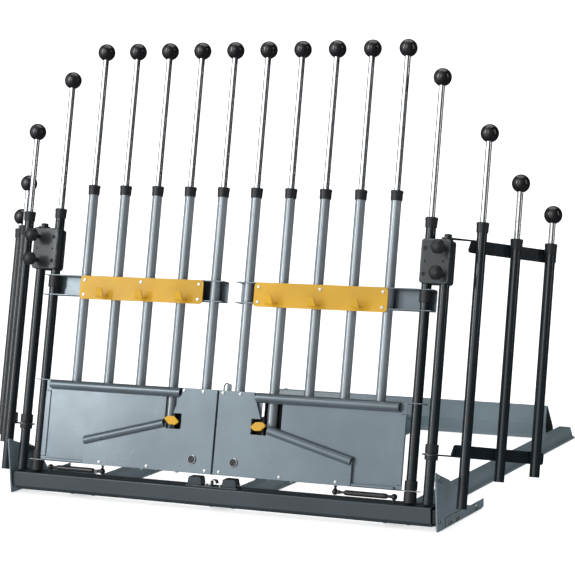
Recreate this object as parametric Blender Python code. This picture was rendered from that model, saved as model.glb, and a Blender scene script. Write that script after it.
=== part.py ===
"""Adjustable load-space gate for a car boot: a floor frame, two hinged doors and two folding wings,
all built from leaning tubes with telescoping rods. Metres, +Z up, origin on the floor under the middle."""
import math

import bmesh
import bpy
from mathutils import Matrix, Vector

# Floor frame
BEAM_FRONT = -0.520
BEAM_HALF = 0.470
BEAM_DEPTH = 0.040
BEAM_BOTTOM = 0.009
BEAM_TOP = 0.0473
BEAM_WALL = 0.0025
BEAM_CHAMFER = 0.008
RAIL_X = {"rail_left": -0.329, "rail_centre": 0.0, "rail_right": 0.3825}
RAIL_HALF = 0.029
RAIL_TOP_HALF = 0.0145
RAIL_HEIGHT = 0.024
RAIL_SHEET = 0.002
RAIL_END = 0.510
REAR_HALF = 0.350
REAR_FRONT = 0.466
REAR_SHEET = 0.0025
GUSSET_X = 0.480
GUSSET_SHEET = 0.003

# The gate leans back about a line along the beam's top
LEAN = math.radians(12.76)
GATE_SETBACK = 0.01245
POST_A_X = 0.422
POST_B_X = 0.459

# Bars
TUBE_R = 0.010
TUBE_BORE = 0.0084
COLLAR_R = 0.0125
COLLAR_LENGTH = 0.020
COLLAR_BORE = 0.0068
ROD_R = 0.006
BALL_R = 0.018
ROD_LENGTH = 0.330
ROUND = 12
DOOR_BARS = (0.038, 0.1148, 0.1915, 0.2682, 0.345)
DOOR_TUBE_FOOT = 0.0274
DOOR_TUBE_TOP = 0.605
DOOR_BALL = 0.888
POST_FOOT = 0.0032
POST_A_TOP = 0.554
POST_A_BALL = 0.829
POST_B_TOP = 0.512
HOLE_R = 0.0106

# Doors
SHEET = 0.002
PANEL_LOW = 0.025
PANEL_HIGH = 0.194
PANEL_EDGE = 0.002
PANEL_HINGE_EDGE = 0.440
BAND_LOW = 0.371
BAND_HIGH = 0.414
BAND_EDGE = 0.015
SKIN_FRONT = -0.013
COVER_FRONT = -0.020
PLATE = (0.058, 0.349, 0.365, 0.4135)
HOOK_X = (0.102, 0.1955, 0.289)
LEVER = (0.098, 0.127)
LIP_HALF = 0.010
LIP_DEPTH = 0.0145
SLOT_EDGE = {1: 0.142, -1: 0.121}

# Wings, measured along the arm from the hinge post
WING_ANGLE = math.radians(50)
WING_OFFSET = -0.0268
WING_BARS = (0.0588, 0.1358, 0.2128)
WING_FEET = (0.0, 0.057, 0.072)
WING_TOPS = (0.550, 0.527, 0.527)
WING_BALLS = {1: (0.724, 0.636, 0.584), -1: (0.723, 0.620, 0.554)}
ARM_START = 0.036
ARM_END = 0.232

# Clamp, stays
CLAMP = (0.412, 0.472, 0.424, 0.5105)
KNOB_HEIGHTS = (0.442, 0.492)
STAY_DOOR_X = 0.264
STAY_BEAM_X = 0.389
STAY_HEIGHT = 0.0125

GATE = Matrix.Translation((0, BEAM_FRONT + GATE_SETBACK, BEAM_TOP)) @ Matrix.Rotation(-LEAN, 4, "X")


def clear_scene():
    for old in list(bpy.data.objects):
        bpy.data.objects.remove(old, do_unlink=True)


def material(name, colour, metallic, roughness):
    made = bpy.data.materials.new(name)
    made.use_nodes = True
    shader = made.node_tree.nodes["Principled BSDF"]
    shader.inputs["Base Color"].default_value = (*colour, 1)
    shader.inputs["Metallic"].default_value = metallic
    shader.inputs["Roughness"].default_value = roughness
    made.diffuse_color = (*colour, 1)
    return made


def prism(outline, direction):
    """A closed prism: the outline's points, swept by the direction."""
    mesh = bmesh.new()
    low = [mesh.verts.new(p) for p in outline]
    high = [mesh.verts.new(Vector(p) + Vector(direction)) for p in outline]
    mesh.faces.new(low[::-1])
    mesh.faces.new(high)
    for i in range(len(outline)):
        j = (i + 1) % len(outline)
        mesh.faces.new((low[i], low[j], high[j], high[i]))
    bmesh.ops.recalc_face_normals(mesh, faces=mesh.faces[:])
    return mesh


def box(x0, x1, y0, y1, z0, z1):
    return prism([(x0, y0, z0), (x1, y0, z0), (x1, y1, z0), (x0, y1, z0)], (0, 0, z1 - z0))


def folded(path, thickness):
    """Both sides of a bent sheet: the path and its copy offset to the left, as one closed outline."""
    inner = []
    for i, point in enumerate(path):
        here = Vector(point)
        before = (here - Vector(path[i - 1])).normalized() if i else None
        after = (Vector(path[i + 1]) - here).normalized() if i + 1 < len(path) else None
        before = before or after
        after = after or before
        normal = Vector((-(before.y + after.y), before.x + after.x)).normalized()
        inner.append(here + normal * thickness / max(normal.dot(Vector((-after.y, after.x))), 0.3))
    return [tuple(p) for p in path] + [tuple(p) for p in reversed(inner)]


def lathe(profile, place, closed=False, around=ROUND):
    """Turns (radius, height) points about the local Z axis."""
    mesh = bmesh.new()
    rings = []
    for radius, height in profile:
        if radius < 1e-6:
            rings.append([mesh.verts.new((0, 0, height))] * around)
            continue
        turn = [2 * math.pi * (i + 0.5) / around for i in range(around)]
        rings.append([mesh.verts.new((radius * math.cos(t), radius * math.sin(t), height)) for t in turn])
    pairs = list(zip(rings, rings[1:]))
    if closed:
        pairs.append((rings[-1], rings[0]))
    else:
        for ring in (rings[0], rings[-1]):
            if ring[0] is not ring[1]:
                mesh.faces.new(ring)
    for lower, upper in pairs:
        for i in range(around):
            j = (i + 1) % around
            corners = []
            for corner in (lower[i], lower[j], upper[j], upper[i]):
                if corner not in corners:
                    corners.append(corner)
            mesh.faces.new(corners)
    bmesh.ops.recalc_face_normals(mesh, faces=mesh.faces[:])
    mesh.transform(place)
    return mesh


def rod_between(start, end, radius, around=ROUND):
    start, end = Vector(start), Vector(end)
    turn = (end - start).to_track_quat("Z", "Y").to_matrix().to_4x4()
    length = (end - start).length
    return lathe([(radius, 0), (radius, length)], Matrix.Translation(start) @ turn, around=around)


def temporary(mesh):
    data = bpy.data.meshes.new("piece")
    mesh.to_mesh(data)
    mesh.free()
    held = bpy.data.objects.new("piece", data)
    bpy.context.collection.objects.link(held)
    return held


def combine(first, others, operation):
    """The first body joined to, or cut by, each of the others."""
    base = temporary(first)
    for other in others:
        tool = temporary(other)
        tool.hide_render = True
        tool.display_type = "WIRE"
        step = base.modifiers.new("join", "BOOLEAN")
        step.operation = operation
        step.solver = "EXACT"
        step.object = tool
        graph = bpy.context.evaluated_depsgraph_get()
        data = bpy.data.meshes.new_from_object(base.evaluated_get(graph))
        base.modifiers.clear()
        base.data = data
        bpy.data.objects.remove(tool, do_unlink=True)
    mesh = bmesh.new()
    mesh.from_mesh(base.data)
    bpy.data.objects.remove(base, do_unlink=True)
    return mesh


def union(first, *others):
    return combine(first, others, "UNION")


def cut(first, *others):
    return combine(first, others, "DIFFERENCE")


def place(name, mesh, frame, finish, side=1, origin=(0, 0, 0), smooth=False):
    """Puts a body drawn for the right side into the model, mirrored for the left one."""
    mesh.transform(frame)
    origin = Vector(origin)
    if side < 0:
        mesh.transform(Matrix.Diagonal((-1, 1, 1, 1)))
        origin.x = -origin.x
        bmesh.ops.reverse_faces(mesh, faces=mesh.faces[:])
    mesh.transform(Matrix.Translation(-origin))
    bmesh.ops.dissolve_degenerate(mesh, dist=1e-6, edges=mesh.edges[:])
    data = bpy.data.meshes.new(name)
    mesh.to_mesh(data)
    mesh.free()
    data.materials.clear()
    data.materials.append(material(name, *finish))
    made = bpy.data.objects.new(name, data)
    made.location = origin
    bpy.context.collection.objects.link(made)
    if smooth:
        data.shade_smooth()
        data.set_sharp_from_angle(angle=math.radians(40))
    return made


def at(x, n, u):
    return Matrix.Translation((x, n, u))


def on_gate(x, n, u):
    return tuple(GATE @ Vector((x, n, u)))


DARK = ((0.035, 0.045, 0.052), 0.3, 0.45)
RAIL_GREY = ((0.16, 0.21, 0.24), 0.3, 0.4)
DOOR_GREY = ((0.22, 0.28, 0.32), 0.3, 0.4)
TUBE_GREY = ((0.25, 0.29, 0.31), 0.5, 0.35)
YELLOW = ((0.84, 0.48, 0.015), 0.0, 0.4)
BLACK = ((0.012, 0.012, 0.013), 0.0, 0.3)
CHROME = ((0.75, 0.76, 0.78), 1.0, 0.12)


def tube(foot, top):
    """A hollow bar with a guide collar round its mouth."""
    profile = [(TUBE_BORE, foot), (TUBE_R, foot), (TUBE_R, top - COLLAR_LENGTH)]
    profile += [(COLLAR_R, top - COLLAR_LENGTH), (COLLAR_R, top), (COLLAR_BORE, top)]
    profile += [(COLLAR_BORE, top - COLLAR_LENGTH), (TUBE_BORE, top - COLLAR_LENGTH)]
    return profile


def rod_and_ball(ball):
    """A rod with its ball: the ball's centre is at the given height."""
    bottom = ball - ROD_LENGTH
    profile = [(0, bottom), (ROD_R, bottom)]
    start = math.asin(ROD_R / BALL_R)
    for i in range(7):
        angle = start + (math.pi - start) * i / 6
        profile.append((BALL_R * math.sin(angle) if i < 6 else 0, ball - BALL_R * math.cos(angle)))
    return profile


def rod(name, x, n, ball, side):
    place(name, lathe(rod_and_ball(ball), at(x, n, 0)), GATE, CHROME, side, on_gate(x, n, ball), True)


def front_beam():
    """A closed box section with its lower front edge folded back, open at the ends."""
    y0, y1 = BEAM_FRONT, BEAM_FRONT + BEAM_DEPTH
    c, w, k = BEAM_CHAMFER, BEAM_WALL, BEAM_WALL * 0.42
    outer = [(y0 + c, BEAM_BOTTOM), (y1, BEAM_BOTTOM), (y1, BEAM_TOP), (y0, BEAM_TOP), (y0, BEAM_BOTTOM + c)]
    inner = [(y0 + c + k, BEAM_BOTTOM + w), (y1 - w, BEAM_BOTTOM + w), (y1 - w, BEAM_TOP - w)]
    inner += [(y0 + w, BEAM_TOP - w), (y0 + w, BEAM_BOTTOM + c + k)]
    mesh = bmesh.new()
    ends = []
    for x in (-BEAM_HALF, BEAM_HALF):
        ends.append([[mesh.verts.new((x, *p)) for p in ring] for ring in (outer, inner)])
    for i in range(5):
        j = (i + 1) % 5
        for ring in (0, 1):
            mesh.faces.new((ends[0][ring][i], ends[0][ring][j], ends[1][ring][j], ends[1][ring][i]))
        for end in (0, 1):
            mesh.faces.new((ends[end][0][i], ends[end][0][j], ends[end][1][j], ends[end][1][i]))
    bmesh.ops.recalc_face_normals(mesh, faces=mesh.faces[:])
    place("front_beam", mesh, Matrix(), DARK)


def rails():
    """Three floor rails of raised hat section."""
    h, t = RAIL_HEIGHT, RAIL_SHEET
    path = [(RAIL_HALF, t), (RAIL_TOP_HALF + 0.006, t), (RAIL_TOP_HALF, h), (-RAIL_TOP_HALF, h)]
    path += [(-RAIL_TOP_HALF - 0.006, t), (-RAIL_HALF, t)]
    start = BEAM_FRONT + BEAM_DEPTH + 0.0005
    for name, x in RAIL_X.items():
        outline = [(x + px, start, pz) for px, pz in folded(path, t)]
        place(name, prism(outline, (0, RAIL_END - start, 0)), Matrix(), RAIL_GREY)


def rear_beam():
    """A folded ridge with closed ends, notched to pass over the two inner rails."""
    y = REAR_FRONT
    path = [(y - 0.0025, 0.0017), (y + 0.004, 0.009), (y + 0.001, 0.034), (y + 0.012, 0.0755)]
    path += [(y + 0.020, 0.0755), (y + 0.056, 0.020), (y + 0.056, 0.0)]
    outline = [(-REAR_HALF, *p) for p in folded(path, -REAR_SHEET)]
    body = prism(outline, (2 * REAR_HALF, 0, 0))
    plates = [prism([(x, *p) for p in path], (REAR_SHEET, 0, 0)) for x in (-REAR_HALF, REAR_HALF - REAR_SHEET)]
    reach = RAIL_HALF + 0.002
    notches = []
    for x in (RAIL_X["rail_left"], RAIL_X["rail_centre"]):
        notches.append(box(x - reach, x + reach, y - 0.02, y + 0.08, -0.01, RAIL_HEIGHT + 0.0015))
    place("rear_beam", cut(union(body, *plates), *notches), Matrix(), RAIL_GREY)


def corner_bracket(name, side):
    """A side plate with a foot strip, a sloped flange, a floor plate and the beam's end block."""
    x, t, y = GUSSET_X, GUSSET_SHEET, BEAM_FRONT
    outline = [(-0.002, 0.118), (0.017, 0.109), (0.062, 0.092), (0.121, 0.058), (0.150, 0.020), (0.240, 0.012)]
    outline += [(0.240, 0.0), (0.003, 0.0)]
    side_plate = prism([(x, y + a, b) for a, b in outline], (t, 0, 0))
    strip = box(x + t - 0.0005, x + 0.006, y + 0.043, y + 0.240, 0, 0.020)
    slope = [(0.050, 0.0955), (0.062, 0.0910), (0.121, 0.0570), (0.121, 0.0535), (0.062, 0.0875), (0.050, 0.0920)]
    flange = prism([(x - 0.024, y + a, b) for a, b in slope], (0.025, 0, 0))
    floor = box(0.4135, x + 0.001, y + 0.043, y + 0.240, 0, t)
    end_block = box(BEAM_HALF + 0.0003, x + 0.001, y + 0.006, y + 0.034, 0.014, 0.043)
    place(name, union(side_plate, strip, flange, floor, end_block), Matrix(), RAIL_GREY, side)


def latch_keeper():
    """Two rubber buffer blocks and the catch between them, on the beam's top."""
    y0, z0 = BEAM_FRONT + 0.004, BEAM_TOP + 0.0003
    base = box(-0.062, 0.054, y0, y0 + 0.020, z0, z0 + 0.004)
    parts = []
    for x0, x1 in ((-0.060, -0.026), (0.018, 0.052)):
        outline = [(x0, y0 + 0.001, z0 + 0.003), (x1, y0 + 0.001, z0 + 0.003)]
        outline += [(x1 - 0.002, y0 + 0.001, z0 + 0.020), (x0 + 0.004, y0 + 0.001, z0 + 0.020)]
        parts.append(prism(outline, (0, 0.018, 0)))
    parts.append(box(-0.012, 0.004, y0 + 0.006, y0 + 0.014, z0 + 0.003, z0 + 0.014))
    place("latch_keeper", union(base, *parts), Matrix(), BLACK)


def post_a(name, side):
    """The door's hinge post: sleeves carry the door's hinge holes, and a collar guides its rod."""
    r, s = TUBE_R, COLLAR_R
    profile = [(TUBE_BORE, POST_FOOT), (s, POST_FOOT), (s, 0.0246), (r, 0.0246), (r, 0.0274), (s, 0.0274)]
    profile += [(s, 0.046), (r, 0.046), (r, 0.388), (s, 0.388), (s, 0.4116), (r, 0.4116)]
    profile += tube(POST_FOOT, POST_A_TOP)[2:]
    place(name, lathe(profile, at(POST_A_X, 0, 0), True), GATE, DARK, side, (0, 0, 0), True)


def post_b(name, side):
    """The wing's hinge post, with its lower sleeves and the bolt in its top."""
    r, s = TUBE_R, 0.013
    profile = [(TUBE_BORE, POST_FOOT), (r, POST_FOOT), (r, 0.088), (s, 0.088), (s, 0.0966), (r, 0.0966)]
    profile += [(r, 0.1004), (s, 0.1004), (s, 0.118), (r, 0.118), (r, POST_B_TOP), (0.004, POST_B_TOP)]
    profile += [(0.004, 0.5158), (0.0075, 0.5158), (0.0075, 0.522), (0, 0.522)]
    closing = [(0, 0.500), (TUBE_BORE, 0.500)]
    mesh = ring_to_axis(profile, closing, POST_B_X)
    place(name, mesh, GATE, DARK, side, (0, 0, 0), True)


def ring_to_axis(outside, inside, x):
    """A post turned about its axis, closed at the top and open below."""
    return lathe(outside[::-1] + inside[::-1], at(x, 0, 0), False)


def clamp_block(name, side):
    """The block that ties the two posts together."""
    x0, x1, u0, u1 = CLAMP
    c = 0.006
    outline = [(x0 + c, u0), (x1 - c, u0), (x1, u0 + c), (x1, u1 - c), (x1 - c, u1), (x0 + c, u1)]
    outline += [(x0, u1 - c), (x0, u0 + c)]
    body = prism([(a, -0.019, b) for a, b in outline], (0, 0.034, 0))
    holes = [rod_between((x, 0, u0 - 0.01), (x, 0, u1 + 0.01), HOLE_R) for x in (POST_A_X, POST_B_X)]
    place(name, cut(body, *holes), GATE, DARK, side)


def clamp_knob(name, u, side):
    """A mushroom hand knob on its stem."""
    profile = [(0, 0), (0.005, 0), (0.005, 0.016), (0.010, 0.018), (0.0145, 0.026), (0.0145, 0.032)]
    profile += [(0.011, 0.039), (0.005, 0.042), (0, 0.042)]
    turn = Matrix.Translation((POST_B_X, -0.0193, u)) @ Matrix.Rotation(math.pi / 2, 4, "X")
    place(name, lathe(profile, turn), GATE, BLACK, side, on_gate(POST_B_X, -0.0193, u), True)


def round_holes(centres, u):
    return [rod_between((x, 0, u - 0.01), (x, 0, u + 0.012), HOLE_R) for x in centres]


def rolled_lip(start, end):
    """A half-round lip that stands off the panel's skin, between two points given as (x, u)."""
    run = Vector((end[0] - start[0], 0, end[1] - start[1]))
    across = Vector((-run.z, 0, run.x)).normalized() * LIP_HALF
    foot = Vector((start[0], SKIN_FRONT + 0.0005, start[1]))
    turns = [math.pi * i / 8 for i in range(9)]
    outline = [foot + across * math.cos(t) - Vector((0, LIP_DEPTH * math.sin(t), 0)) for t in turns]
    return prism(outline, run)


def door_panel(name, side):
    """The sheet panel: skin, top and bottom flanges, raised cover, rolled lips and the latch cut-outs."""
    f, e = SKIN_FRONT, PANEL_EDGE
    lo, hi = PANEL_LOW, PANEL_HIGH
    skin = box(e, 0.408, f, f + SHEET, lo, hi)
    top = box(e, 0.410, f, 0.013, hi - SHEET, hi)
    bottom = box(e, PANEL_HINGE_EDGE, f, 0.013, lo, lo + SHEET)
    hinge_top = box(0.400, PANEL_HINGE_EDGE, f + 0.001, 0.013, hi - SHEET, hi)
    outline = [(e, lo), (0.300, lo), (0.300, 0.072), (0.106, 0.122), (0.080, hi), (e, hi)]
    cover = prism([(x, COVER_FRONT, u) for x, u in outline], (0, SKIN_FRONT - COVER_FRONT + 0.001, 0))
    lip = rolled_lip((0.086, hi - LIP_HALF), (0.394, hi - LIP_HALF))
    ridge = rolled_lip((0.118, 0.1205), (0.302, 0.073))
    hem = box(0.304, 0.394, f - 0.006, f + 0.001, lo, lo + 0.006)
    body = union(skin, top, bottom, hinge_top, cover, lip, ridge, hem)
    slot = box(0.096, SLOT_EDGE[side], f - 0.001, f + SHEET + 0.0005, 0.112, hi - 0.016)
    mouth = box(0.079, 0.114, -0.03, f + SHEET + 0.0005, 0.110, 0.142)
    cuts = [slot, mouth] + round_holes(DOOR_BARS + (POST_A_X,), hi - SHEET) + round_holes((POST_A_X,), lo)
    place(name, cut(body, *cuts), GATE, DOOR_GREY, side, on_gate(POST_A_X, 0, 0))


def door_band(name, side):
    """The channel round the bars: a back web with two flanges the bars and the post pass through."""
    lo, hi, back = BAND_LOW, BAND_HIGH, 0.0152
    x0, x1 = BAND_EDGE, PANEL_HINGE_EDGE
    path = [(-0.012, lo), (back, lo), (back, hi), (-0.012, hi)]
    channel = prism([(x0, a, b) for a, b in folded(path, SHEET)], (x1 - x0, 0, 0))
    holes = round_holes(DOOR_BARS + (POST_A_X,), lo) + round_holes(DOOR_BARS + (POST_A_X,), hi - SHEET)
    place(name, cut(channel, *holes), GATE, DOOR_GREY, side, on_gate(POST_A_X, 0, 0))


def hook_plate(name, side):
    """The coloured plate on the band's open front, with three upturned hooks."""
    x0, x1, lo, hi = PLATE
    c = 0.006
    outline = [(x0 + c, lo), (x1 - c, lo), (x1, lo + c), (x1, hi - c), (x1 - c, hi), (x0 + c, hi)]
    outline += [(x0, hi - c), (x0, lo + c)]
    body = prism([(a, -0.0148, b) for a, b in outline], (0, 0.0024, 0))
    hooks = []
    for x in HOOK_X:
        path = [(-0.0140, lo + 0.006), (-0.034, lo + 0.002), (-0.040, lo + 0.022)]
        hooks.append(prism([(x - 0.009, a, b) for a, b in folded(path, -0.0026)], (0.018, 0, 0)))
    place(name, union(body, *hooks), GATE, YELLOW, side, on_gate(POST_A_X, 0, 0))


def latch_lever(name, side):
    """A leaf-shaped finger lever on its pivot pin."""
    x, u = LEVER
    leaf = [(-0.018, -0.002), (-0.008, -0.009), (0.006, -0.008), (0.018, 0.003), (0.008, 0.009), (-0.006, 0.008)]
    body = prism([(x + a, -0.0275, u + b) for a, b in leaf], (0, 0.004, 0))
    pin = rod_between((x, -0.0245, u), (x, -0.0112, u), 0.003, 10)
    place(name, union(body, pin), GATE, YELLOW, side, on_gate(x, -0.02, u))


def stay(word, side):
    """A small gas stay: the cylinder pivots on the beam, the rod's stud reaches up to the door."""
    u = STAY_HEIGHT
    along = at(STAY_BEAM_X, 0, u) @ Matrix.Rotation(-math.pi / 2, 4, "Y")
    reach = STAY_BEAM_X - STAY_DOOR_X
    barrel = [(0, 0.004), (0.003, 0.004), (0.003, 0.014), (0.0052, 0.018), (0.0052, 0.104), (0.0030, 0.104)]
    barrel += [(0.0030, 0.024), (0, 0.024)]
    ball = lathe([(0, -0.006), (0.0042, -0.0042), (0.006, 0), (0.0042, 0.0042), (0, 0.006)], at(STAY_BEAM_X, 0, u))
    stud = rod_between((STAY_BEAM_X, 0, 0.0022), (STAY_BEAM_X, 0, u), 0.0034, 10)
    place("stay_cylinder_" + word, union(lathe(barrel, along, around=10), ball, stud), GATE, BLACK, side,
          on_gate(STAY_BEAM_X, 0, u), True)
    ball = lathe([(0, -0.006), (0.0042, -0.0042), (0.006, 0), (0.0042, 0.0042), (0, 0.006)], at(STAY_DOOR_X, 0, u))
    stud = rod_between((STAY_DOOR_X, 0, u), (STAY_DOOR_X, 0, 0.0246), 0.0034, 10)
    inner = rod_between((STAY_DOOR_X, 0, u), (STAY_DOOR_X + reach * 0.78, 0, u), 0.0025, 10)
    place("stay_rod_" + word, union(ball, stud, inner), GATE, BLACK, side, on_gate(STAY_DOOR_X, 0, u), True)


def wing(name, side):
    """Three bars welded to two arms, hung on the hinge post by two thin link plates."""
    swing = at(POST_B_X, 0, 0) @ Matrix.Rotation(WING_ANGLE, 4, "Z")
    b = WING_OFFSET
    bars = []
    for a, foot, top in zip(WING_BARS, WING_FEET, WING_TOPS):
        bars.append(lathe(tube(foot, top), at(a, b, 0), True))
    web0, web1 = b + 0.0093, b + 0.0125
    upper = box(ARM_START, ARM_END, web0, web1, 0.490, 0.5154)
    lower = box(ARM_START - 0.004, ARM_END + 0.004, web0, web1, 0.097, 0.121)
    shapes = []
    for u, hole in ((0.5124, 0.0045), (0.097, HOLE_R)):
        outer = hole + 0.0075
        ring = [(outer * math.cos(math.radians(t)), outer * math.sin(math.radians(t))) for t in range(30, 300, 30)]
        edge = [(p[0], p[1], u) for p in ring] + [(ARM_START + 0.012, web0, u), (ARM_START + 0.012, web1, u)]
        plate = prism(edge, (0, 0, 0.003))
        shapes.append(cut(plate, rod_between((0, 0, u - 0.01), (0, 0, u + 0.01), hole)))
    body = union(bars[0], upper, lower, bars[1], bars[2], *shapes)
    place(name, body, GATE @ swing, DARK, side, on_gate(POST_B_X, 0, 0), True)


def wing_bar_point(a):
    c, s = math.cos(WING_ANGLE), math.sin(WING_ANGLE)
    return POST_B_X + a * c - WING_OFFSET * s, a * s + WING_OFFSET * c


def build():
    clear_scene()
    front_beam()
    rails()
    rear_beam()
    latch_keeper()
    for word, side in (("left", -1), ("right", 1)):
        corner_bracket("corner_bracket_" + word, side)
        post_a("door_post_" + word, side)
        post_b("wing_post_" + word, side)
        clamp_block("clamp_block_" + word, side)
        for place_word, u in zip(("lower", "upper"), KNOB_HEIGHTS):
            clamp_knob("clamp_knob_%s_%s" % (place_word, word), u, side)
        door_panel("door_panel_" + word, side)
        door_band("door_band_" + word, side)
        hook_plate("hook_plate_" + word, side)
        latch_lever("latch_lever_" + word, side)
        stay(word, side)
        wing("wing_" + word, side)
        for i, x in enumerate(DOOR_BARS):
            bar = lathe(tube(DOOR_TUBE_FOOT, DOOR_TUBE_TOP), at(x, 0, 0), True)
            place("door_tube_%s_%d" % (word, i + 1), bar, GATE, TUBE_GREY, side, on_gate(POST_A_X, 0, 0), True)
            rod("door_rod_%s_%d" % (word, i + 1), x, 0, DOOR_BALL, side)
        rod("post_rod_" + word, POST_A_X, 0, POST_A_BALL, side)
        for i, (a, ball) in enumerate(zip(WING_BARS, WING_BALLS[side])):
            x, n = wing_bar_point(a)
            rod("wing_rod_%s_%d" % (word, i + 1), x, n, ball, side)


build()
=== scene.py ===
"""How a load-space gate for a car boot looks: a folded steel floor frame, two leaning barred doors and two
folding wings. Metres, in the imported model's frame: the doors face -Y, and the gate leans back about X."""
import math

import bmesh
import bpy
from mathutils import Matrix, Vector


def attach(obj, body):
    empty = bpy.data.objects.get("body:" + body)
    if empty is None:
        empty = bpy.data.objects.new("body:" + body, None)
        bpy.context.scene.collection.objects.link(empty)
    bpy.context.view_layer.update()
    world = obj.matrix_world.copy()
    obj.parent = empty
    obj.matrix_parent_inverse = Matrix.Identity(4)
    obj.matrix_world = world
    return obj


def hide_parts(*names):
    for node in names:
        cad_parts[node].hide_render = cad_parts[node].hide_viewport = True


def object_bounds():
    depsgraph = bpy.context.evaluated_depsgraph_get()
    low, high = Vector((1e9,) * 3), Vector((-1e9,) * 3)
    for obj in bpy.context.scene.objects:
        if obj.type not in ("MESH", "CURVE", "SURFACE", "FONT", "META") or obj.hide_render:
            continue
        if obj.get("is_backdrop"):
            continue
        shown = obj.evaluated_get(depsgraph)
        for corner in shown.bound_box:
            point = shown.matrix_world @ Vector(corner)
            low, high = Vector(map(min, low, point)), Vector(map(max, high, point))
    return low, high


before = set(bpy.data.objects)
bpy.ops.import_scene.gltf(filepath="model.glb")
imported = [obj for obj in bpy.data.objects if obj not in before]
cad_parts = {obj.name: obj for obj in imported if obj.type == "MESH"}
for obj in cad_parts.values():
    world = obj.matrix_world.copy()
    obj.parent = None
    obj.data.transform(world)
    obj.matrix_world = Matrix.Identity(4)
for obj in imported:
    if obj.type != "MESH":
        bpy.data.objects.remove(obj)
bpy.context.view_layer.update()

# ------------------------------------------------------------------------------------------- Studio
# A pale floor that sweeps up behind the gate, a tall soft box on the left, narrow ones in front and on
# the right, a broad one overhead, and a long lens at chest height, a little to the right of the doors.
SWEEP_HALF, SWEEP_NEAR, SWEEP_FAR, SWEEP_BEND, SWEEP_TOP = 14.0, -9.0, 5.0, 2.5, 9.0
SWEEP_GLOW = 0.62
CAMERA_PLACE = Vector((1.9749, -4.123, 0.9146))
CAMERA_TURN, CAMERA_DOWN, CAMERA_ROLL = 0.4632, 0.1131, -0.016
CAMERA_LENS = 131.3
SOFT_BOXES = (
    ("soft_box_left", (-2.2, -3.4, 2.2), (0.0, -0.3, 0.45), (0.45, 2.8), 40),
    ("soft_box_front", (0.2, -4.8, 2.6), (0.0, -0.3, 0.30), (0.5, 1.8), 12),
    ("soft_box_right", (3.2, -0.2, 1.6), (0.2, -0.2, 0.40), (0.3, 2.2), 8),
    ("soft_box_top", (0.0, 0.4, 3.4), (0.0, 0.0, 0.2), (3.0, 2.4), 30),
)


def add_node(tree, kind, **settings):
    """A shader or geometry node with its properties set."""
    made = tree.nodes.new(kind)
    for key, value in settings.items():
        setattr(made, key, value)
    return made


def studio_sweep():
    arc = [(SWEEP_NEAR, 0.0), (SWEEP_FAR, 0.0)]
    for i in range(1, 17):
        turn = math.pi / 2 * i / 16
        arc.append((SWEEP_FAR + SWEEP_BEND * math.sin(turn), SWEEP_BEND * (1 - math.cos(turn))))
    arc.append((SWEEP_FAR + SWEEP_BEND, SWEEP_TOP))
    data = bpy.data.meshes.new("sweep")
    points = [(x, y, z - 0.0004) for y, z in arc for x in (-SWEEP_HALF, SWEEP_HALF)]
    faces = [(2 * i, 2 * i + 1, 2 * i + 3, 2 * i + 2) for i in range(len(arc) - 1)]
    data.from_pydata(points, [], faces)
    data.shade_smooth()
    paper = bpy.data.materials.new("sweep_paper")
    paper.use_nodes = True
    shader = paper.node_tree.nodes["Principled BSDF"]
    shader.inputs["Base Color"].default_value = (0.93, 0.93, 0.93, 1)
    shader.inputs["Roughness"].default_value = 0.9
    shader.inputs["Emission Color"].default_value = (1, 1, 1, 1)
    shader.inputs["Emission Strength"].default_value = SWEEP_GLOW
    data.materials.append(paper)
    sweep = bpy.data.objects.new("sweep", data)
    sweep.visible_glossy = False
    bpy.context.collection.objects.link(sweep)
    sweep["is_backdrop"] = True


def studio_light(name, place, target, size, power):
    lamp = bpy.data.lights.new(name, "AREA")
    lamp.shape = "RECTANGLE"
    lamp.size, lamp.size_y = size
    lamp.energy = power
    held = bpy.data.objects.new(name, lamp)
    held.location = place
    held.rotation_euler = (Vector(target) - Vector(place)).to_track_quat("-Z", "Y").to_euler()
    bpy.context.collection.objects.link(held)


def studio_air():
    """Pure white behind everything, and a dimmer room, brighter to the front left, in the reflections."""
    world = bpy.data.worlds.new("air")
    bpy.context.scene.world = world
    world.use_nodes = True
    tree = world.node_tree
    tree.nodes.clear()
    toward = add_node(tree, "ShaderNodeVectorMath", operation="DOT_PRODUCT")
    toward.inputs[1].default_value = Vector((-0.50, -0.80, 0.32)).normalized()
    ramp = add_node(tree, "ShaderNodeValToRGB")
    stops = ((0.30, 0.03), (0.60, 0.08), (0.82, 0.30), (0.95, 1.1))
    ramp.color_ramp.elements.remove(ramp.color_ramp.elements[1])
    for i, (where, level) in enumerate(stops):
        stop = ramp.color_ramp.elements[0] if i == 0 else ramp.color_ramp.elements.new(where)
        stop.position = where
        stop.color = (level, level * 1.02, level * 1.05, 1)
    half = add_node(tree, "ShaderNodeMath", operation="MULTIPLY_ADD")
    half.inputs[1].default_value = 0.5
    half.inputs[2].default_value = 0.5
    room = add_node(tree, "ShaderNodeBackground")
    white = add_node(tree, "ShaderNodeBackground")
    white.inputs["Strength"].default_value = 1.0
    white.inputs["Color"].default_value = (1, 1, 1, 1)
    seen = add_node(tree, "ShaderNodeLightPath")
    mix = add_node(tree, "ShaderNodeMixShader")
    out = add_node(tree, "ShaderNodeOutputWorld")
    link = tree.links.new
    link(add_node(tree, "ShaderNodeTexCoord").outputs["Generated"], toward.inputs[0])
    link(toward.outputs["Value"], half.inputs[0])
    link(half.outputs[0], ramp.inputs[0])
    link(ramp.outputs["Color"], room.inputs["Color"])
    link(seen.outputs["Is Camera Ray"], mix.inputs[0])
    link(room.outputs[0], mix.inputs[1])
    link(white.outputs[0], mix.inputs[2])
    link(mix.outputs[0], out.inputs[0])


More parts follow.
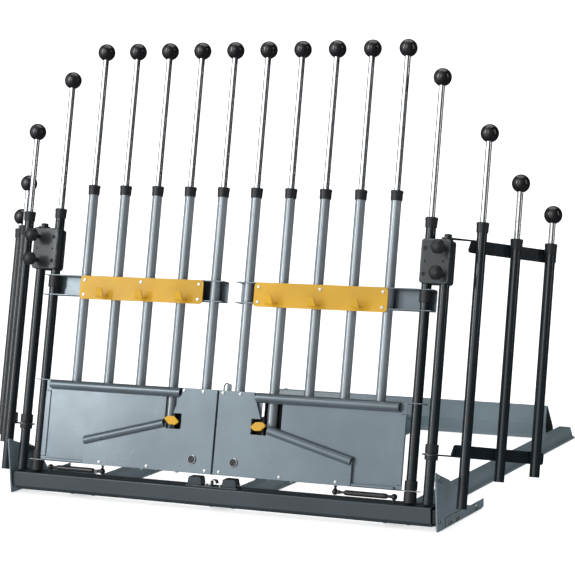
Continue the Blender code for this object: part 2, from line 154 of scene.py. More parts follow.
def studio_camera():
    turn, down, roll = CAMERA_TURN, CAMERA_DOWN, CAMERA_ROLL
    forward = Vector((-math.sin(turn) * math.cos(down), math.cos(turn) * math.cos(down), -math.sin(down)))
    level = Vector((math.cos(turn), math.sin(turn), 0))
    above = level.cross(forward)
    right = level * math.cos(roll) + above * math.sin(roll)
    up = above * math.cos(roll) - level * math.sin(roll)
    lens = bpy.data.cameras.new("camera")
    lens.lens = CAMERA_LENS
    lens.sensor_width = 36
    held = bpy.data.objects.new("camera", lens)
    turned_to = Matrix((right, up, -forward)).transposed().to_4x4()
    held.matrix_world = Matrix.Translation(CAMERA_PLACE) @ turned_to
    bpy.context.collection.objects.link(held)
    bpy.context.scene.camera = held
    bpy.context.scene.view_settings.view_transform = "Standard"


studio_sweep()
for box_of_light in SOFT_BOXES:
    studio_light(*box_of_light)
studio_air()
studio_camera()

# --------------------------------------------------------------------------------------- Front beam
# One length of 2.5 mm steel, folded to a closed box whose lower front edge is turned back, then
# powder coated anthracite. Its right and left ends are closed by black moulded plugs.
BEAM_FRONT, BEAM_BACK = -0.520, -0.480
BEAM_HALF = 0.470
BEAM_BOTTOM, BEAM_TOP = 0.009, 0.0473
BEAM_WALL, BEAM_CHAMFER, BEAM_BEND = 0.0025, 0.008, 0.0022
ANTHRACITE = (0.030, 0.042, 0.050)
ANTHRACITE_WORN = (0.16, 0.18, 0.19)


def enamel(name, colour, worn, roughness=0.36, metallic=0.0, peel=0.14, gloss=0.35):
    """A baked powder coat: faint clouds in the colour, an orange-peel skin, and paler, rubbed edges."""
    made = bpy.data.materials.new(name)
    made.use_nodes = True
    tree = made.node_tree
    link = tree.links.new
    shader = tree.nodes["Principled BSDF"]
    shader.inputs["Metallic"].default_value = metallic
    shader.inputs["Coat Weight"].default_value = gloss
    shader.inputs["Coat Roughness"].default_value = 0.12
    where = add_node(tree, "ShaderNodeTexCoord").outputs["Object"]

    def noise(scale, detail):
        cloud = add_node(tree, "ShaderNodeTexNoise")
        cloud.inputs["Scale"].default_value = scale
        cloud.inputs["Detail"].default_value = detail
        link(where, cloud.inputs["Vector"])
        return cloud.outputs[0]

    def ranged(value, low, high, to_low, to_high):
        span = add_node(tree, "ShaderNodeMapRange")
        for i, number in enumerate((low, high, to_low, to_high)):
            span.inputs[i + 1].default_value = number
        link(value, span.inputs[0])
        return span.outputs[0]

    clouds = add_node(tree, "ShaderNodeMix", data_type="RGBA")
    clouds.inputs["A"].default_value = (*[c * 0.86 for c in colour], 1)
    clouds.inputs["B"].default_value = (*[min(1, c * 1.12) for c in colour], 1)
    link(ranged(noise(7.0, 4.0), 0.32, 0.68, 0.0, 1.0), clouds.inputs["Factor"])
    rubbed = add_node(tree, "ShaderNodeMath", operation="MULTIPLY")
    edge = add_node(tree, "ShaderNodeAttribute", attribute_name="worn")
    link(edge.outputs["Fac"], rubbed.inputs[0])
    link(ranged(noise(85.0, 6.0), 0.40, 0.62, 0.15, 0.95), rubbed.inputs[1])
    wear = add_node(tree, "ShaderNodeMix", data_type="RGBA")
    wear.inputs["B"].default_value = (*worn, 1)
    link(rubbed.outputs[0], wear.inputs["Factor"])
    link(clouds.outputs["Result"], wear.inputs["A"])
    link(wear.outputs["Result"], shader.inputs["Base Color"])
    link(ranged(noise(32.0, 5.0), 0.3, 0.7, roughness - 0.03, roughness + 0.04), shader.inputs["Roughness"])
    skin = add_node(tree, "ShaderNodeBump")
    skin.inputs["Strength"].default_value = peel
    skin.inputs["Distance"].default_value = 0.0004
    link(noise(420.0, 2.0), skin.inputs["Height"])
    link(skin.outputs[0], shader.inputs["Normal"])
    return made


def eased(path, radius, closed=True, steps=5):
    """An outline whose corners are turned to arcs; an open one keeps its two ends."""
    points = [Vector(p) for p in path]
    made = []
    for i, here in enumerate(points):
        if not closed and i in (0, len(points) - 1):
            made.append(here)
            continue
        back = points[i - 1] - here
        ahead = points[(i + 1) % len(points)] - here
        half = back.angle(ahead) / 2
        reach = min(radius / math.tan(half), back.length * 0.48, ahead.length * 0.48)
        bend = reach * math.tan(half)
        back.normalize()
        ahead.normalize()
        centre = here + (back + ahead).normalized() * bend / math.sin(half)
        first, last = here + back * reach - centre, here + ahead * reach - centre
        for k in range(steps + 1):
            made.append(centre + first.lerp(last, k / steps).normalized() * bend)
    return made


def sheet_wall(path, thickness):
    """Both faces of a bent sheet as one outline: the path, and its copy offset to the left."""
    inner = []
    for i, here in enumerate(path):
        before = (here - path[i - 1]).normalized() if i else None
        after = (path[i + 1] - here).normalized() if i + 1 < len(path) else None
        before, after = before or after, after or before
        mean = (before + after).normalized()
        normal = Vector((-mean.y, mean.x))
        inner.append(here + normal * thickness / max(normal.dot(Vector((-after.y, after.x))), 0.3))
    return list(path) + inner[::-1]


def run_of(outline, start, end, axis="X"):
    """A closed bar: an outline in the plane across the axis, run from start to end along it."""
    places = {"X": lambda a, b, c: (c, a, b), "Y": lambda a, b, c: (a, c, b), "Z": lambda a, b, c: (a, b, c)}
    put = places[axis]
    mesh = bmesh.new()
    near = [mesh.verts.new(put(a, b, start)) for a, b in outline]
    far = [mesh.verts.new(put(a, b, end)) for a, b in outline]
    mesh.faces.new(near[::-1])
    mesh.faces.new(far)
    for i in range(len(outline)):
        j = (i + 1) % len(outline)
        mesh.faces.new((near[i], near[j], far[j], far[i]))
    bmesh.ops.recalc_face_normals(mesh, faces=mesh.faces[:])
    return mesh


def break_edges(mesh, width, sharper_than=32):
    """Rounds the sharp edges a little and marks the new faces as worn."""
    worn = mesh.faces.layers.float.get("worn") or mesh.faces.layers.float.new("worn")
    limit = math.radians(sharper_than)
    sharp = [e for e in mesh.edges if len(e.link_faces) == 2 and e.calc_face_angle(0) > limit]
    made = bmesh.ops.bevel(mesh, geom=sharp, offset=width, segments=3, profile=0.5, affect="EDGES")
    for face in made["faces"]:
        face[worn] = 1.0
    return mesh


def other_hand(mesh, side):
    """A right-hand shape, or its mirror image for the left."""
    if side < 0:
        mesh.transform(Matrix.Diagonal((-1, 1, 1, 1)))
        bmesh.ops.reverse_faces(mesh, faces=mesh.faces[:])
    return mesh


def fit_piece(name, mesh, finish, slot, body, *stands_for):
    """Puts a finished mesh on the gate: its finish, its body, and the plain parts that it stands for."""
    data = bpy.data.meshes.new(name)
    mesh.to_mesh(data)
    mesh.free()
    data.materials.append(finish)
    data.shade_smooth()
    data.set_sharp_from_angle(angle=math.radians(36))
    made = bpy.data.objects.new(name, data)
    bpy.context.collection.objects.link(made)
    even = made.modifiers.new("even shading", "WEIGHTED_NORMAL")
    even.keep_sharp = True
    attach(made, body)
    if stands_for:
        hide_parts(*stands_for)
    return made


anthracite = enamel("anthracite_enamel", ANTHRACITE, ANTHRACITE_WORN)
beam_corners = [(BEAM_FRONT + BEAM_CHAMFER, BEAM_BOTTOM), (BEAM_BACK, BEAM_BOTTOM), (BEAM_BACK, BEAM_TOP)]
beam_corners += [(BEAM_FRONT, BEAM_TOP), (BEAM_FRONT, BEAM_BOTTOM + BEAM_CHAMFER)]
beam_outside = eased(beam_corners, BEAM_BEND)
beam_inside = sheet_wall(beam_outside + beam_outside[:1], BEAM_WALL)[len(beam_outside) + 1:][::-1][:-1]
beam = bmesh.new()
beam_rings = []
for beam_x in (-BEAM_HALF, BEAM_HALF):
    beam_rings.append([[beam.verts.new((beam_x, *p)) for p in ring] for ring in (beam_outside, beam_inside)])
for i in range(len(beam_outside)):
    j = (i + 1) % len(beam_outside)
    (out_0, in_0), (out_1, in_1) = beam_rings
    for a, b in ((out_0, out_1), (in_1, in_0), (in_0, out_0), (out_1, in_1)):
        beam.faces.new((a[i], a[j], b[j], b[i]))
bmesh.ops.recalc_face_normals(beam, faces=beam.faces[:])
fit_piece("beam_tube", break_edges(beam, 0.0004, 60), anthracite, "dark_paint", "floor_frame", "front_beam")

# ------------------------------------------------------------------------------ Moulded black plugs
# Push-in nylon plugs close the beam's ends; the ribs on their skirts can be seen at the rim.
HANDS = (("left", -1), ("right", 1))


def moulding(name, colour, roughness, grain=0.10, clear=0.0):
    """Injection-moulded plastic or rubber with a fine spark-eroded grain and handling marks."""
    made = bpy.data.materials.new(name)
    made.use_nodes = True
    tree = made.node_tree
    link = tree.links.new
    shader = tree.nodes["Principled BSDF"]
    shader.inputs["Coat Weight"].default_value = clear
    shader.inputs["Coat Roughness"].default_value = 0.05
    where = add_node(tree, "ShaderNodeTexCoord").outputs["Object"]
    grains = add_node(tree, "ShaderNodeTexNoise")
    grains.inputs["Scale"].default_value = 900.0
    marks = add_node(tree, "ShaderNodeTexNoise")
    marks.inputs["Scale"].default_value = 26.0
    marks.inputs["Detail"].default_value = 6.0
    link(where, grains.inputs["Vector"])
    link(where, marks.inputs["Vector"])
    shine = add_node(tree, "ShaderNodeMapRange")
    for i, number in enumerate((0.3, 0.7, roughness * 0.8, roughness * 1.25)):
        shine.inputs[i + 1].default_value = number
    link(marks.outputs[0], shine.inputs[0])
    link(shine.outputs[0], shader.inputs["Roughness"])
    tone = add_node(tree, "ShaderNodeMix", data_type="RGBA")
    tone.inputs["A"].default_value = (*[c * 0.8 for c in colour], 1)
    tone.inputs["B"].default_value = (*[min(1, c * 1.25) for c in colour], 1)
    link(marks.outputs[0], tone.inputs["Factor"])
    link(tone.outputs["Result"], shader.inputs["Base Color"])
    skin = add_node(tree, "ShaderNodeBump")
    skin.inputs["Strength"].default_value = grain
    skin.inputs["Distance"].default_value = 0.0002
    link(grains.outputs[0], skin.inputs["Height"])
    link(skin.outputs[0], shader.inputs["Normal"])
    return made


black_nylon = moulding("black_nylon", (0.016, 0.017, 0.019), 0.38)
plug_outline = eased([(y, z) for y, z in ((BEAM_FRONT + BEAM_CHAMFER + 0.002, BEAM_BOTTOM + BEAM_WALL),
                                          (BEAM_BACK - BEAM_WALL, BEAM_BOTTOM + BEAM_WALL),
                                          (BEAM_BACK - BEAM_WALL, BEAM_TOP - BEAM_WALL),
                                          (BEAM_FRONT + BEAM_WALL, BEAM_TOP - BEAM_WALL),
                                          (BEAM_FRONT + BEAM_WALL, BEAM_BOTTOM + BEAM_CHAMFER + 0.002))],
                     0.0015)
for word, side in HANDS:
    plug = run_of(plug_outline, BEAM_HALF - 0.014, BEAM_HALF - 0.0012)
    fit_piece("beam_plug_" + word, other_hand(break_edges(plug, 0.0008), side), black_nylon, "black_plastic",
              "floor_frame")

# -------------------------------------------------------------------------------------- Floor rails
# Three hat-section rails, roll formed from 2 mm strip and coated blue-grey. Their flanges lie on the
# boot floor, and a black moulded cap closes the rear end of each.
RAILS = {"rail_left": -0.329, "rail_centre": 0.0, "rail_right": 0.3825}
RAIL_HALF, RAIL_TOP_HALF, RAIL_FLARE = 0.029, 0.0145, 0.006
RAIL_HEIGHT, RAIL_STRIP = 0.024, 0.002
RAIL_START, RAIL_END = -0.4795, 0.510
RAIL_COLOUR = (0.135, 0.185, 0.210)

slate = enamel("slate_enamel", RAIL_COLOUR, (0.34, 0.38, 0.40), roughness=0.40, gloss=0.25)


def rail_path(centre):
    up, low = RAIL_HEIGHT, RAIL_STRIP
    corners = [(RAIL_HALF, low), (RAIL_TOP_HALF + RAIL_FLARE, low), (RAIL_TOP_HALF, up)]
    corners += [(-a, b) for a, b in corners[::-1]]
    return eased([(centre + a, b) for a, b in corners], 0.003, closed=False)


for rail, rail_x in RAILS.items():
    shape = run_of(sheet_wall(rail_path(rail_x), RAIL_STRIP), RAIL_START, RAIL_END, "Y")
    fit_piece(rail + "_strip", break_edges(shape, 0.0004, 50), slate, "rail_paint", "floor_frame", rail)
    cap_outline = eased([(rail_x + RAIL_TOP_HALF + 0.002, 0.0004), (rail_x + RAIL_TOP_HALF - 0.003, 0.0214),
                         (rail_x - RAIL_TOP_HALF + 0.003, 0.0214),
                         (rail_x - RAIL_TOP_HALF - 0.002, 0.0004)], 0.002)
    cap = run_of(cap_outline, RAIL_END - 0.016, RAIL_END - 0.0005, "Y")
    fit_piece(rail + "_cap", break_edges(cap, 0.0012), black_nylon, "black_plastic", "floor_frame")

# ---------------------------------------------------------------------------------------- Rear beam
# A ridge folded from 2.5 mm sheet, with plates riveted in its ends. It is notched to pass over the
# two inner rails and slides along them to suit the boot.
REAR_HALF, REAR_FRONT, REAR_SHEET = 0.350, 0.466, 0.0025
REAR_RIDGE = [(-0.0025, 0.0017), (0.004, 0.009), (0.001, 0.034), (0.012, 0.0755), (0.020, 0.0755),
              (0.056, 0.020), (0.056, 0.0)]


def carve(mesh, *cutters, operation="DIFFERENCE"):
    """The mesh with each cutter taken away from it, or welded to it."""
    held = []
    for shape in (mesh, *cutters):
        data = bpy.data.meshes.new("blank")
        shape.to_mesh(data)
        shape.free()
        held.append(bpy.data.objects.new("blank", data))
        bpy.context.collection.objects.link(held[-1])
    for cutter in held[1:]:
        cutter.hide_render = True
        cutter.display_type = "WIRE"
        step = held[0].modifiers.new("cut", "BOOLEAN")
        step.operation = operation
        step.solver = "EXACT"
        step.object = cutter
    graph = bpy.context.evaluated_depsgraph_get()
    data = bpy.data.meshes.new_from_object(held[0].evaluated_get(graph))
    made = bmesh.new()
    made.from_mesh(data)
    for blank in held:
        bpy.data.objects.remove(blank, do_unlink=True)
    bmesh.ops.dissolve_degenerate(made, dist=1e-6, edges=made.edges[:])
    return made


def block(x0, x1, y0, y1, z0, z1):
    return run_of([(y0, z0), (y1, z0), (y1, z1), (y0, z1)], x0, x1)


ridge = eased([(REAR_FRONT + a, b) for a, b in REAR_RIDGE], 0.003, closed=False)
ridge_notches = []
for rail in ("rail_left", "rail_centre"):
    reach = RAIL_HALF + 0.002
    ridge_notches.append(block(RAILS[rail] - reach, RAILS[rail] + reach, REAR_FRONT - 0.02, REAR_FRONT + 0.08,
                               -0.01, RAIL_HEIGHT + 0.0015))
ridge_shell = carve(run_of(sheet_wall(ridge, -REAR_SHEET), -REAR_HALF, REAR_HALF), *ridge_notches)
fit_piece("rear_ridge", break_edges(ridge_shell, 0.0004, 50), slate, "rail_paint", "rear", "rear_beam")
ridge_inside = sheet_wall(ridge, -REAR_SHEET)[len(ridge):]
for word, side in HANDS:
    end_plate = run_of(ridge_inside, REAR_HALF - 0.0035, REAR_HALF - 0.0010)
    fit_piece("rear_end_" + word, other_hand(break_edges(end_plate, 0.0004, 50), side), black_nylon,
              "black_plastic", "rear")

# ---------------------------------------------------------------------------------- Corner brackets
# A 3 mm side plate with a bolted foot strip and floor plate, and a sloped flange welded along its
# upper edge. Each closes the end of the front beam and carries the two posts' hardware.
GUSSET_X, GUSSET_SHEET = 0.480, 0.003
GUSSET_OUTLINE = [(-0.002, 0.118), (0.017, 0.109), (0.062, 0.092), (0.121, 0.058), (0.150, 0.020),
                  (0.240, 0.012), (0.240, 0.0), (0.003, 0.0)]
STRIP_REACH, STRIP_HEIGHT, STRIP_FACE = (0.043, 0.240), 0.020, 0.4852
SLOPE_TOP, SLOPE_END = Vector((0.050, 0.0955)), Vector((0.121, 0.0555))

for word, side in HANDS:
    plate = run_of(eased([(BEAM_FRONT + a, b) for a, b in GUSSET_OUTLINE], 0.004), GUSSET_X,
                   GUSSET_X + GUSSET_SHEET)
    fit_piece("gusset_" + word, other_hand(break_edges(plate, 0.0006, 50), side), slate, "rail_paint",
              "floor_frame", "corner_bracket_" + word)
    strip_path = eased([(0.4140, 0.0017), (STRIP_FACE, 0.0017), (STRIP_FACE, STRIP_HEIGHT)], 0.003,
                       closed=False)
    strip = run_of(sheet_wall(strip_path, 0.0016), BEAM_FRONT + STRIP_REACH[0], BEAM_FRONT + STRIP_REACH[1],
                   "Y")
    fit_piece("foot_strip_" + word, other_hand(break_edges(strip, 0.0005, 50), side), slate, "rail_paint",
              "floor_frame")
    slope_path = [Vector((BEAM_FRONT + p.x, p.y)) for p in (SLOPE_TOP, SLOPE_END)]
    flange = run_of(sheet_wall(slope_path, -0.003), GUSSET_X - 0.024, GUSSET_X + 0.0002)
    fit_piece("sloped_flange_" + word, other_hand(break_edges(flange, 0.0006), side), anthracite,
              "dark_paint", "floor_frame")
    end_block = run_of(eased([(BEAM_FRONT + 0.006, 0.014), (BEAM_FRONT + 0.034, 0.014),
                              (BEAM_FRONT + 0.034, 0.043), (BEAM_FRONT + 0.006, 0.043)], 0.003),
                       BEAM_HALF + 0.0003, GUSSET_X - 0.0002)
    fit_piece("end_block_" + word, other_hand(break_edges(end_block, 0.0006, 50), side), black_nylon,
              "black_plastic", "floor_frame")

# --------------------------------------------------------------------------------- Bolts and screws
# Zinc-plated hexagon bolts on washers, and small domed socket screws. Each lies on its own point and
# faces the way the point says.
ZINC = (0.60, 0.61, 0.60)


def plated(name, colour, roughness, brushed=(1, 1, 1), turn=0.0, grain=0.06):
    """Bare or plated metal with fine draw lines and a breath of tarnish."""
    made = bpy.data.materials.new(name)
    made.use_nodes = True
    tree = made.node_tree
    link = tree.links.new
    shader = tree.nodes["Principled BSDF"]
    shader.inputs["Metallic"].default_value = 1.0
    spread = add_node(tree, "ShaderNodeMapping")
    spread.inputs["Rotation"].default_value = (turn, 0, 0)
    link(add_node(tree, "ShaderNodeTexCoord").outputs["Object"], spread.inputs["Vector"])
    lines = add_node(tree, "ShaderNodeMapping")
    lines.inputs["Scale"].default_value = brushed
    link(spread.outputs[0], lines.inputs["Vector"])
    hairs = add_node(tree, "ShaderNodeTexNoise")
    hairs.inputs["Scale"].default_value = 700.0
    hairs.inputs["Detail"].default_value = 3.0
    link(lines.outputs[0], hairs.inputs["Vector"])
    tarnish = add_node(tree, "ShaderNodeTexNoise")
    tarnish.inputs["Scale"].default_value = 18.0
    tarnish.inputs["Detail"].default_value = 5.0
    link(spread.outputs[0], tarnish.inputs["Vector"])
    tone = add_node(tree, "ShaderNodeMix", data_type="RGBA")
    tone.inputs["A"].default_value = (*[c * 0.84 for c in colour], 1)
    tone.inputs["B"].default_value = (*[min(1, c * 1.08) for c in colour], 1)
    link(tarnish.outputs[0], tone.inputs["Factor"])
    link(tone.outputs["Result"], shader.inputs["Base Color"])
    shine = add_node(tree, "ShaderNodeMapRange")
    for i, number in enumerate((0.3, 0.7, roughness * 0.7, roughness * 1.4)):
        shine.inputs[i + 1].default_value = number
    link(hairs.outputs[0], shine.inputs[0])
    link(shine.outputs[0], shader.inputs["Roughness"])
    skin = add_node(tree, "ShaderNodeBump")
    skin.inputs["Strength"].default_value = grain
    skin.inputs["Distance"].default_value = 0.0001
    link(hairs.outputs[0], skin.inputs["Height"])
    link(skin.outputs[0], shader.inputs["Normal"])
    return made


def head_tree(name, sides):
    """Geometry nodes: a screw head with a chamfered top, a socket and a washer at every point."""
    tree = bpy.data.node_groups.new(name, "GeometryNodeTree")
    tree.interface.new_socket("Geometry", in_out="INPUT", socket_type="NodeSocketGeometry")
    for label in ("Head Radius", "Head Height", "Washer Radius", "Socket Share"):
        tree.interface.new_socket(label, in_out="INPUT", socket_type="NodeSocketFloat")
    tree.interface.new_socket("Finish", in_out="INPUT", socket_type="NodeSocketMaterial")
    tree.interface.new_socket("Geometry", in_out="OUTPUT", socket_type="NodeSocketGeometry")
    link = tree.links.new
    given = add_node(tree, "NodeGroupInput").outputs

    def times(value, factor):
        product = add_node(tree, "ShaderNodeMath", operation="MULTIPLY")
        product.inputs[1].default_value = factor
        link(value, product.inputs[0])
        return product.outputs[0]

    def grown(mesh, top, rise, share):
        """Draws the top face out by the rise, then sizes it by the share."""
        out = add_node(tree, "GeometryNodeExtrudeMesh")
        link(mesh, out.inputs["Mesh"])
        if top is not None:
            link(top, out.inputs["Selection"])
        link(rise, out.inputs["Offset Scale"])
        size = add_node(tree, "GeometryNodeScaleElements")
        link(out.outputs["Mesh"], size.inputs["Geometry"])
        link(out.outputs["Top"], size.inputs["Selection"])
        if isinstance(share, float):
            size.inputs["Scale"].default_value = share
        else:
            link(share, size.inputs["Scale"])
        return size.outputs[0], out.outputs["Top"]

    def closed_disc(corners, radius, steps):
        ring = add_node(tree, "GeometryNodeMeshCircle", fill_type="NGON")
        ring.inputs["Vertices"].default_value = corners
        link(radius, ring.inputs["Radius"])
        mesh, top = ring.outputs[0], None
        for rise, share in steps:
            mesh, top = grown(mesh, top, rise, share)
        under = add_node(tree, "GeometryNodeFlipFaces")
        link(ring.outputs[0], under.inputs[0])
        joined = add_node(tree, "GeometryNodeJoinGeometry")
        link(mesh, joined.inputs[0])
        link(under.outputs[0], joined.inputs[0])
        merged = add_node(tree, "GeometryNodeMergeByDistance")
        merged.inputs["Distance"].default_value = 1e-6
        link(joined.outputs[0], merged.inputs[0])
        return merged.outputs[0]

    height = given["Head Height"]
    nothing = times(height, 0.001)
    head_steps = [(times(height, 0.72), 1.0), (times(height, 0.20), 0.93), (times(height, 0.08), 0.86),
                  (nothing, given["Socket Share"]), (times(height, -0.55), 0.92)]
    head = closed_disc(sides, given["Head Radius"], head_steps)
    washer = closed_disc(24, given["Washer Radius"],
                         [(times(height, 0.16), 1.0), (times(height, 0.04), 0.95)])
    whole = add_node(tree, "GeometryNodeJoinGeometry")
    link(head, whole.inputs[0])
    link(washer, whole.inputs[0])
    facing = add_node(tree, "GeometryNodeInputNamedAttribute", data_type="FLOAT_VECTOR")
    facing.inputs["Name"].default_value = "facing"
    aim = add_node(tree, "FunctionNodeAlignRotationToVector", axis="Z")
    link(facing.outputs[0], aim.inputs["Vector"])
    placed = add_node(tree, "GeometryNodeInstanceOnPoints")
    link(given["Geometry"], placed.inputs["Points"])
    link(whole.outputs[0], placed.inputs["Instance"])
    link(aim.outputs[0], placed.inputs["Rotation"])
    real = add_node(tree, "GeometryNodeRealizeInstances")
    link(placed.outputs[0], real.inputs[0])
    coated = add_node(tree, "GeometryNodeSetMaterial")
    link(real.outputs[0], coated.inputs[0])
    link(given["Finish"], coated.inputs["Material"])
    link(coated.outputs[0], add_node(tree, "NodeGroupOutput").inputs[0])
    return tree


def grown_mesh(name, data, tree, **values):
    """What a geometry node tree makes of a mesh, as a plain mesh."""
    blank = bpy.data.objects.new(name, data)
    bpy.context.collection.objects.link(blank)
    grower = blank.modifiers.new("grower", "NODES")
    grower.node_group = tree
    for item in tree.interface.items_tree:
        if item.in_out == "INPUT" and item.name in values:
            grower[item.identifier] = values[item.name]
    graph = bpy.context.evaluated_depsgraph_get()
    made = bpy.data.meshes.new_from_object(blank.evaluated_get(graph))
    blank.modifiers.remove(grower)
    bpy.data.objects.remove(blank, do_unlink=True)
    mesh = bmesh.new()
    mesh.from_mesh(made)
    return mesh


def fasten(name, places, tree, sizes, finish, slot, body, side=1):
    """Heads at (point, facing) places; sizes are head radius, head height, washer radius, socket share."""
    data = bpy.data.meshes.new(name)
    data.from_pydata([p for p, _ in places], [], [])
    facing = data.attributes.new("facing", "FLOAT_VECTOR", "POINT")
    for i, (_, direction) in enumerate(places):
        facing.data[i].vector = direction
    labels = ("Head Radius", "Head Height", "Washer Radius", "Socket Share")
    mesh = grown_mesh(name, data, tree, **dict(zip(labels, sizes)), Finish=finish)
    return fit_piece(name, other_hand(mesh, side), finish, slot, body)


zinc = plated("zinc_plate", ZINC, 0.28)
hex_heads = head_tree("hexagon_heads", 6)
round_heads = head_tree("round_heads", 20)
slope_normal = (0, 0.4908, 0.8713)
slope_step = (SLOPE_END - SLOPE_TOP) / 5
for word, side in HANDS:
    outward, forward = (1, 0, 0), (0, -1, 0)
    strip_bolts = [((STRIP_FACE, BEAM_FRONT + y, z), outward)
                   for y, z in ((0.060, 0.0105), (0.096, 0.0112), (0.196, 0.0105))]
    fasten("strip_bolts_" + word, strip_bolts, hex_heads, (0.0048, 0.0032, 0.0062, 0.5), zinc, "chrome_rod",
           "floor_frame", side)
    top_bolts = []
    for i in range(3):
        spot = SLOPE_TOP + slope_step * (0.45 + i * 0.9)
        top_bolts.append(((GUSSET_X - 0.011, BEAM_FRONT + spot.x, spot.y + 0.0002), slope_normal))
    fasten("slope_bolts_" + word, top_bolts, hex_heads, (0.0046, 0.0034, 0.0060, 0.5), zinc, "chrome_rod",
           "floor_frame", side)
    gusset_bolts = [((GUSSET_X + GUSSET_SHEET, BEAM_FRONT + y, z), outward)
                    for y, z in ((0.010, 0.103), (0.022, 0.097), (0.012, 0.020))]
    fasten("gusset_bolts_" + word, gusset_bolts, hex_heads, (0.0040, 0.0028, 0.0052, 0.5), zinc, "chrome_rod",
           "floor_frame", side)
rear_screws = [((x, REAR_FRONT + 0.016, 0.0755), (0, 0, 1)) for x in (-0.334, 0.334)]
rear_screws += [((x, REAR_FRONT + 0.0355, 0.0524), (0, 0.839, 0.544)) for x in (-0.300, 0.300)]
fasten("rear_rivets", rear_screws, round_heads, (0.0036, 0.0022, 0.0052, 0.4), zinc, "chrome_rod", "rear")

# -------------------------------------------------------------------------------- Buffers and catch
# Two moulded rubber buffers stop the doors; between them stands the steel catch that the door latches
# drop behind. All three are screwed to one base plate on top of the beam.
BUFFERS = ((-0.060, -0.026), (0.018, 0.052))
BUFFER_BACK, BUFFER_DEEP = BEAM_FRONT + 0.004, 0.020
KEEPER_BASE = BEAM_TOP + 0.0003

rubber = moulding("buffer_rubber", (0.040, 0.052, 0.060), 0.55, grain=0.25)
base = block(-0.062, 0.054, BUFFER_BACK, BUFFER_BACK + BUFFER_DEEP, KEEPER_BASE, KEEPER_BASE + 0.003)
fit_piece("keeper_base", break_edges(base, 0.0006), anthracite, "dark_paint", "floor_frame", "latch_keeper")
for i, (low, high) in enumerate(BUFFERS):
    foot = KEEPER_BASE + 0.003
    outline = eased([(low, foot), (high, foot), (high - 0.002, foot + 0.017), (low + 0.004, foot + 0.017)],
                    0.004)
    buffer = run_of(outline, BUFFER_BACK + 0.0008, BUFFER_BACK + BUFFER_DEEP - 0.0008, "Y")
    fit_piece("buffer_%d" % (i + 1), break_edges(buffer, 0.0016), rubber, "black_rubber", "floor_frame")
catch_path = eased([(-0.014, KEEPER_BASE + 0.0045), (-0.006, KEEPER_BASE + 0.0045),
                    (-0.006, KEEPER_BASE + 0.0140), (0.002, KEEPER_BASE + 0.0140),
                    (0.005, KEEPER_BASE + 0.0080)], 0.0015, closed=False)
catch = run_of(sheet_wall(catch_path, 0.0015), BUFFER_BACK + 0.004, BUFFER_BACK + 0.015, "Y")
fit_piece("catch_plate", break_edges(catch, 0.0003, 50), zinc, "chrome_rod", "floor_frame")
keeper_screws = [((x, BUFFER_BACK + 0.010, KEEPER_BASE + 0.003), (0, 0, 1)) for x in (-0.020, 0.012)]
fasten("keeper_screws", keeper_screws, round_heads, (0.0034, 0.0026, 0.0044, 0.45), zinc, "chrome_rod",
       "floor_frame")
side_screws = [((0.0522, BUFFER_BACK + 0.004 + y, KEEPER_BASE + 0.0085), (1, 0, 0)) for y in (0.003, 0.010)]
fasten("buffer_screws", side_screws, hex_heads, (0.0022, 0.0014, 0.0026, 0.5), zinc, "chrome_rod",
       "floor_frame")

# -------------------------------------------------------------------------------------------- Posts
# Two 20 mm steel tubes stand at each corner, leaning back with the whole gate. The inner one is the
# door's hinge: nylon sleeves carry the door's plates, and a collar guides its rod. The outer one is
# the wing's hinge, with a black shouldered bolt in its top.
LEAN = math.radians(12.76)
GATE = Matrix.Translation((0, BEAM_FRONT + 0.01245, BEAM_TOP)) @ Matrix.Rotation(-LEAN, 4, "X")
POST_A, POST_B = 0.422, 0.459
TUBE_R, BORE_R = 0.010, 0.0084
COLLAR_R, COLLAR_LENGTH, GUIDE_R = 0.0125, 0.020, 0.0064
POST_FOOT, POST_A_TOP, POST_B_TOP = 0.0032, 0.554, 0.512
ROUND = 36

tube_black = enamel("tube_black_enamel", (0.007, 0.012, 0.016), (0.05, 0.07, 0.08),
                    roughness=0.20, peel=0.02, gloss=0.5)


def turned(profile, place, around=ROUND, ring=False):
    """A shape turned about its own Z axis; a ring's profile closes on itself."""
    mesh = bmesh.new()
    circles = []
    for radius, height in profile:
        if radius < 1e-6:
            circles.append([mesh.verts.new((0, 0, height))] * around)
            continue
        turns = [2 * math.pi * i / around for i in range(around)]
        circles.append([mesh.verts.new((radius * math.cos(t), radius * math.sin(t), height)) for t in turns])
    pairs = list(zip(circles, circles[1:]))
    if ring:
        pairs.append((circles[-1], circles[0]))
    else:
        for circle in (circles[0], circles[-1]):
            if circle[0] is not circle[1]:
                mesh.faces.new(circle)
    for lower, upper in pairs:
        for i in range(around):
            j = (i + 1) % around
            corners = list(dict.fromkeys((lower[i], lower[j], upper[j], upper[i])))
            mesh.faces.new(corners)
    bmesh.ops.recalc_face_normals(mesh, faces=mesh.faces[:])
    mesh.transform(place)
    return mesh


def upright(x, n=0.0):
    return GATE @ Matrix.Translation((x, n, 0))


def tube_profile(foot, top, outer=TUBE_R, bore=BORE_R, lip=0.0004):
    return [(bore, foot), (outer - lip, foot), (outer, foot + lip), (outer, top - lip), (outer - lip, top),
            (bore, top)]


def sleeve_profile(foot, top, outer, bore=TUBE_R + 0.0001, lip=0.0009):
    """A moulded sleeve with rounded rims."""
    low = [(outer - lip * b, foot + lip * a) for a, b in ((0, 1), (0.13, 0.5), (0.5, 0.13), (1, 0))]
    return [(bore, foot)] + low + [(r, foot + top - h) for r, h in low[::-1]] + [(bore, top)]


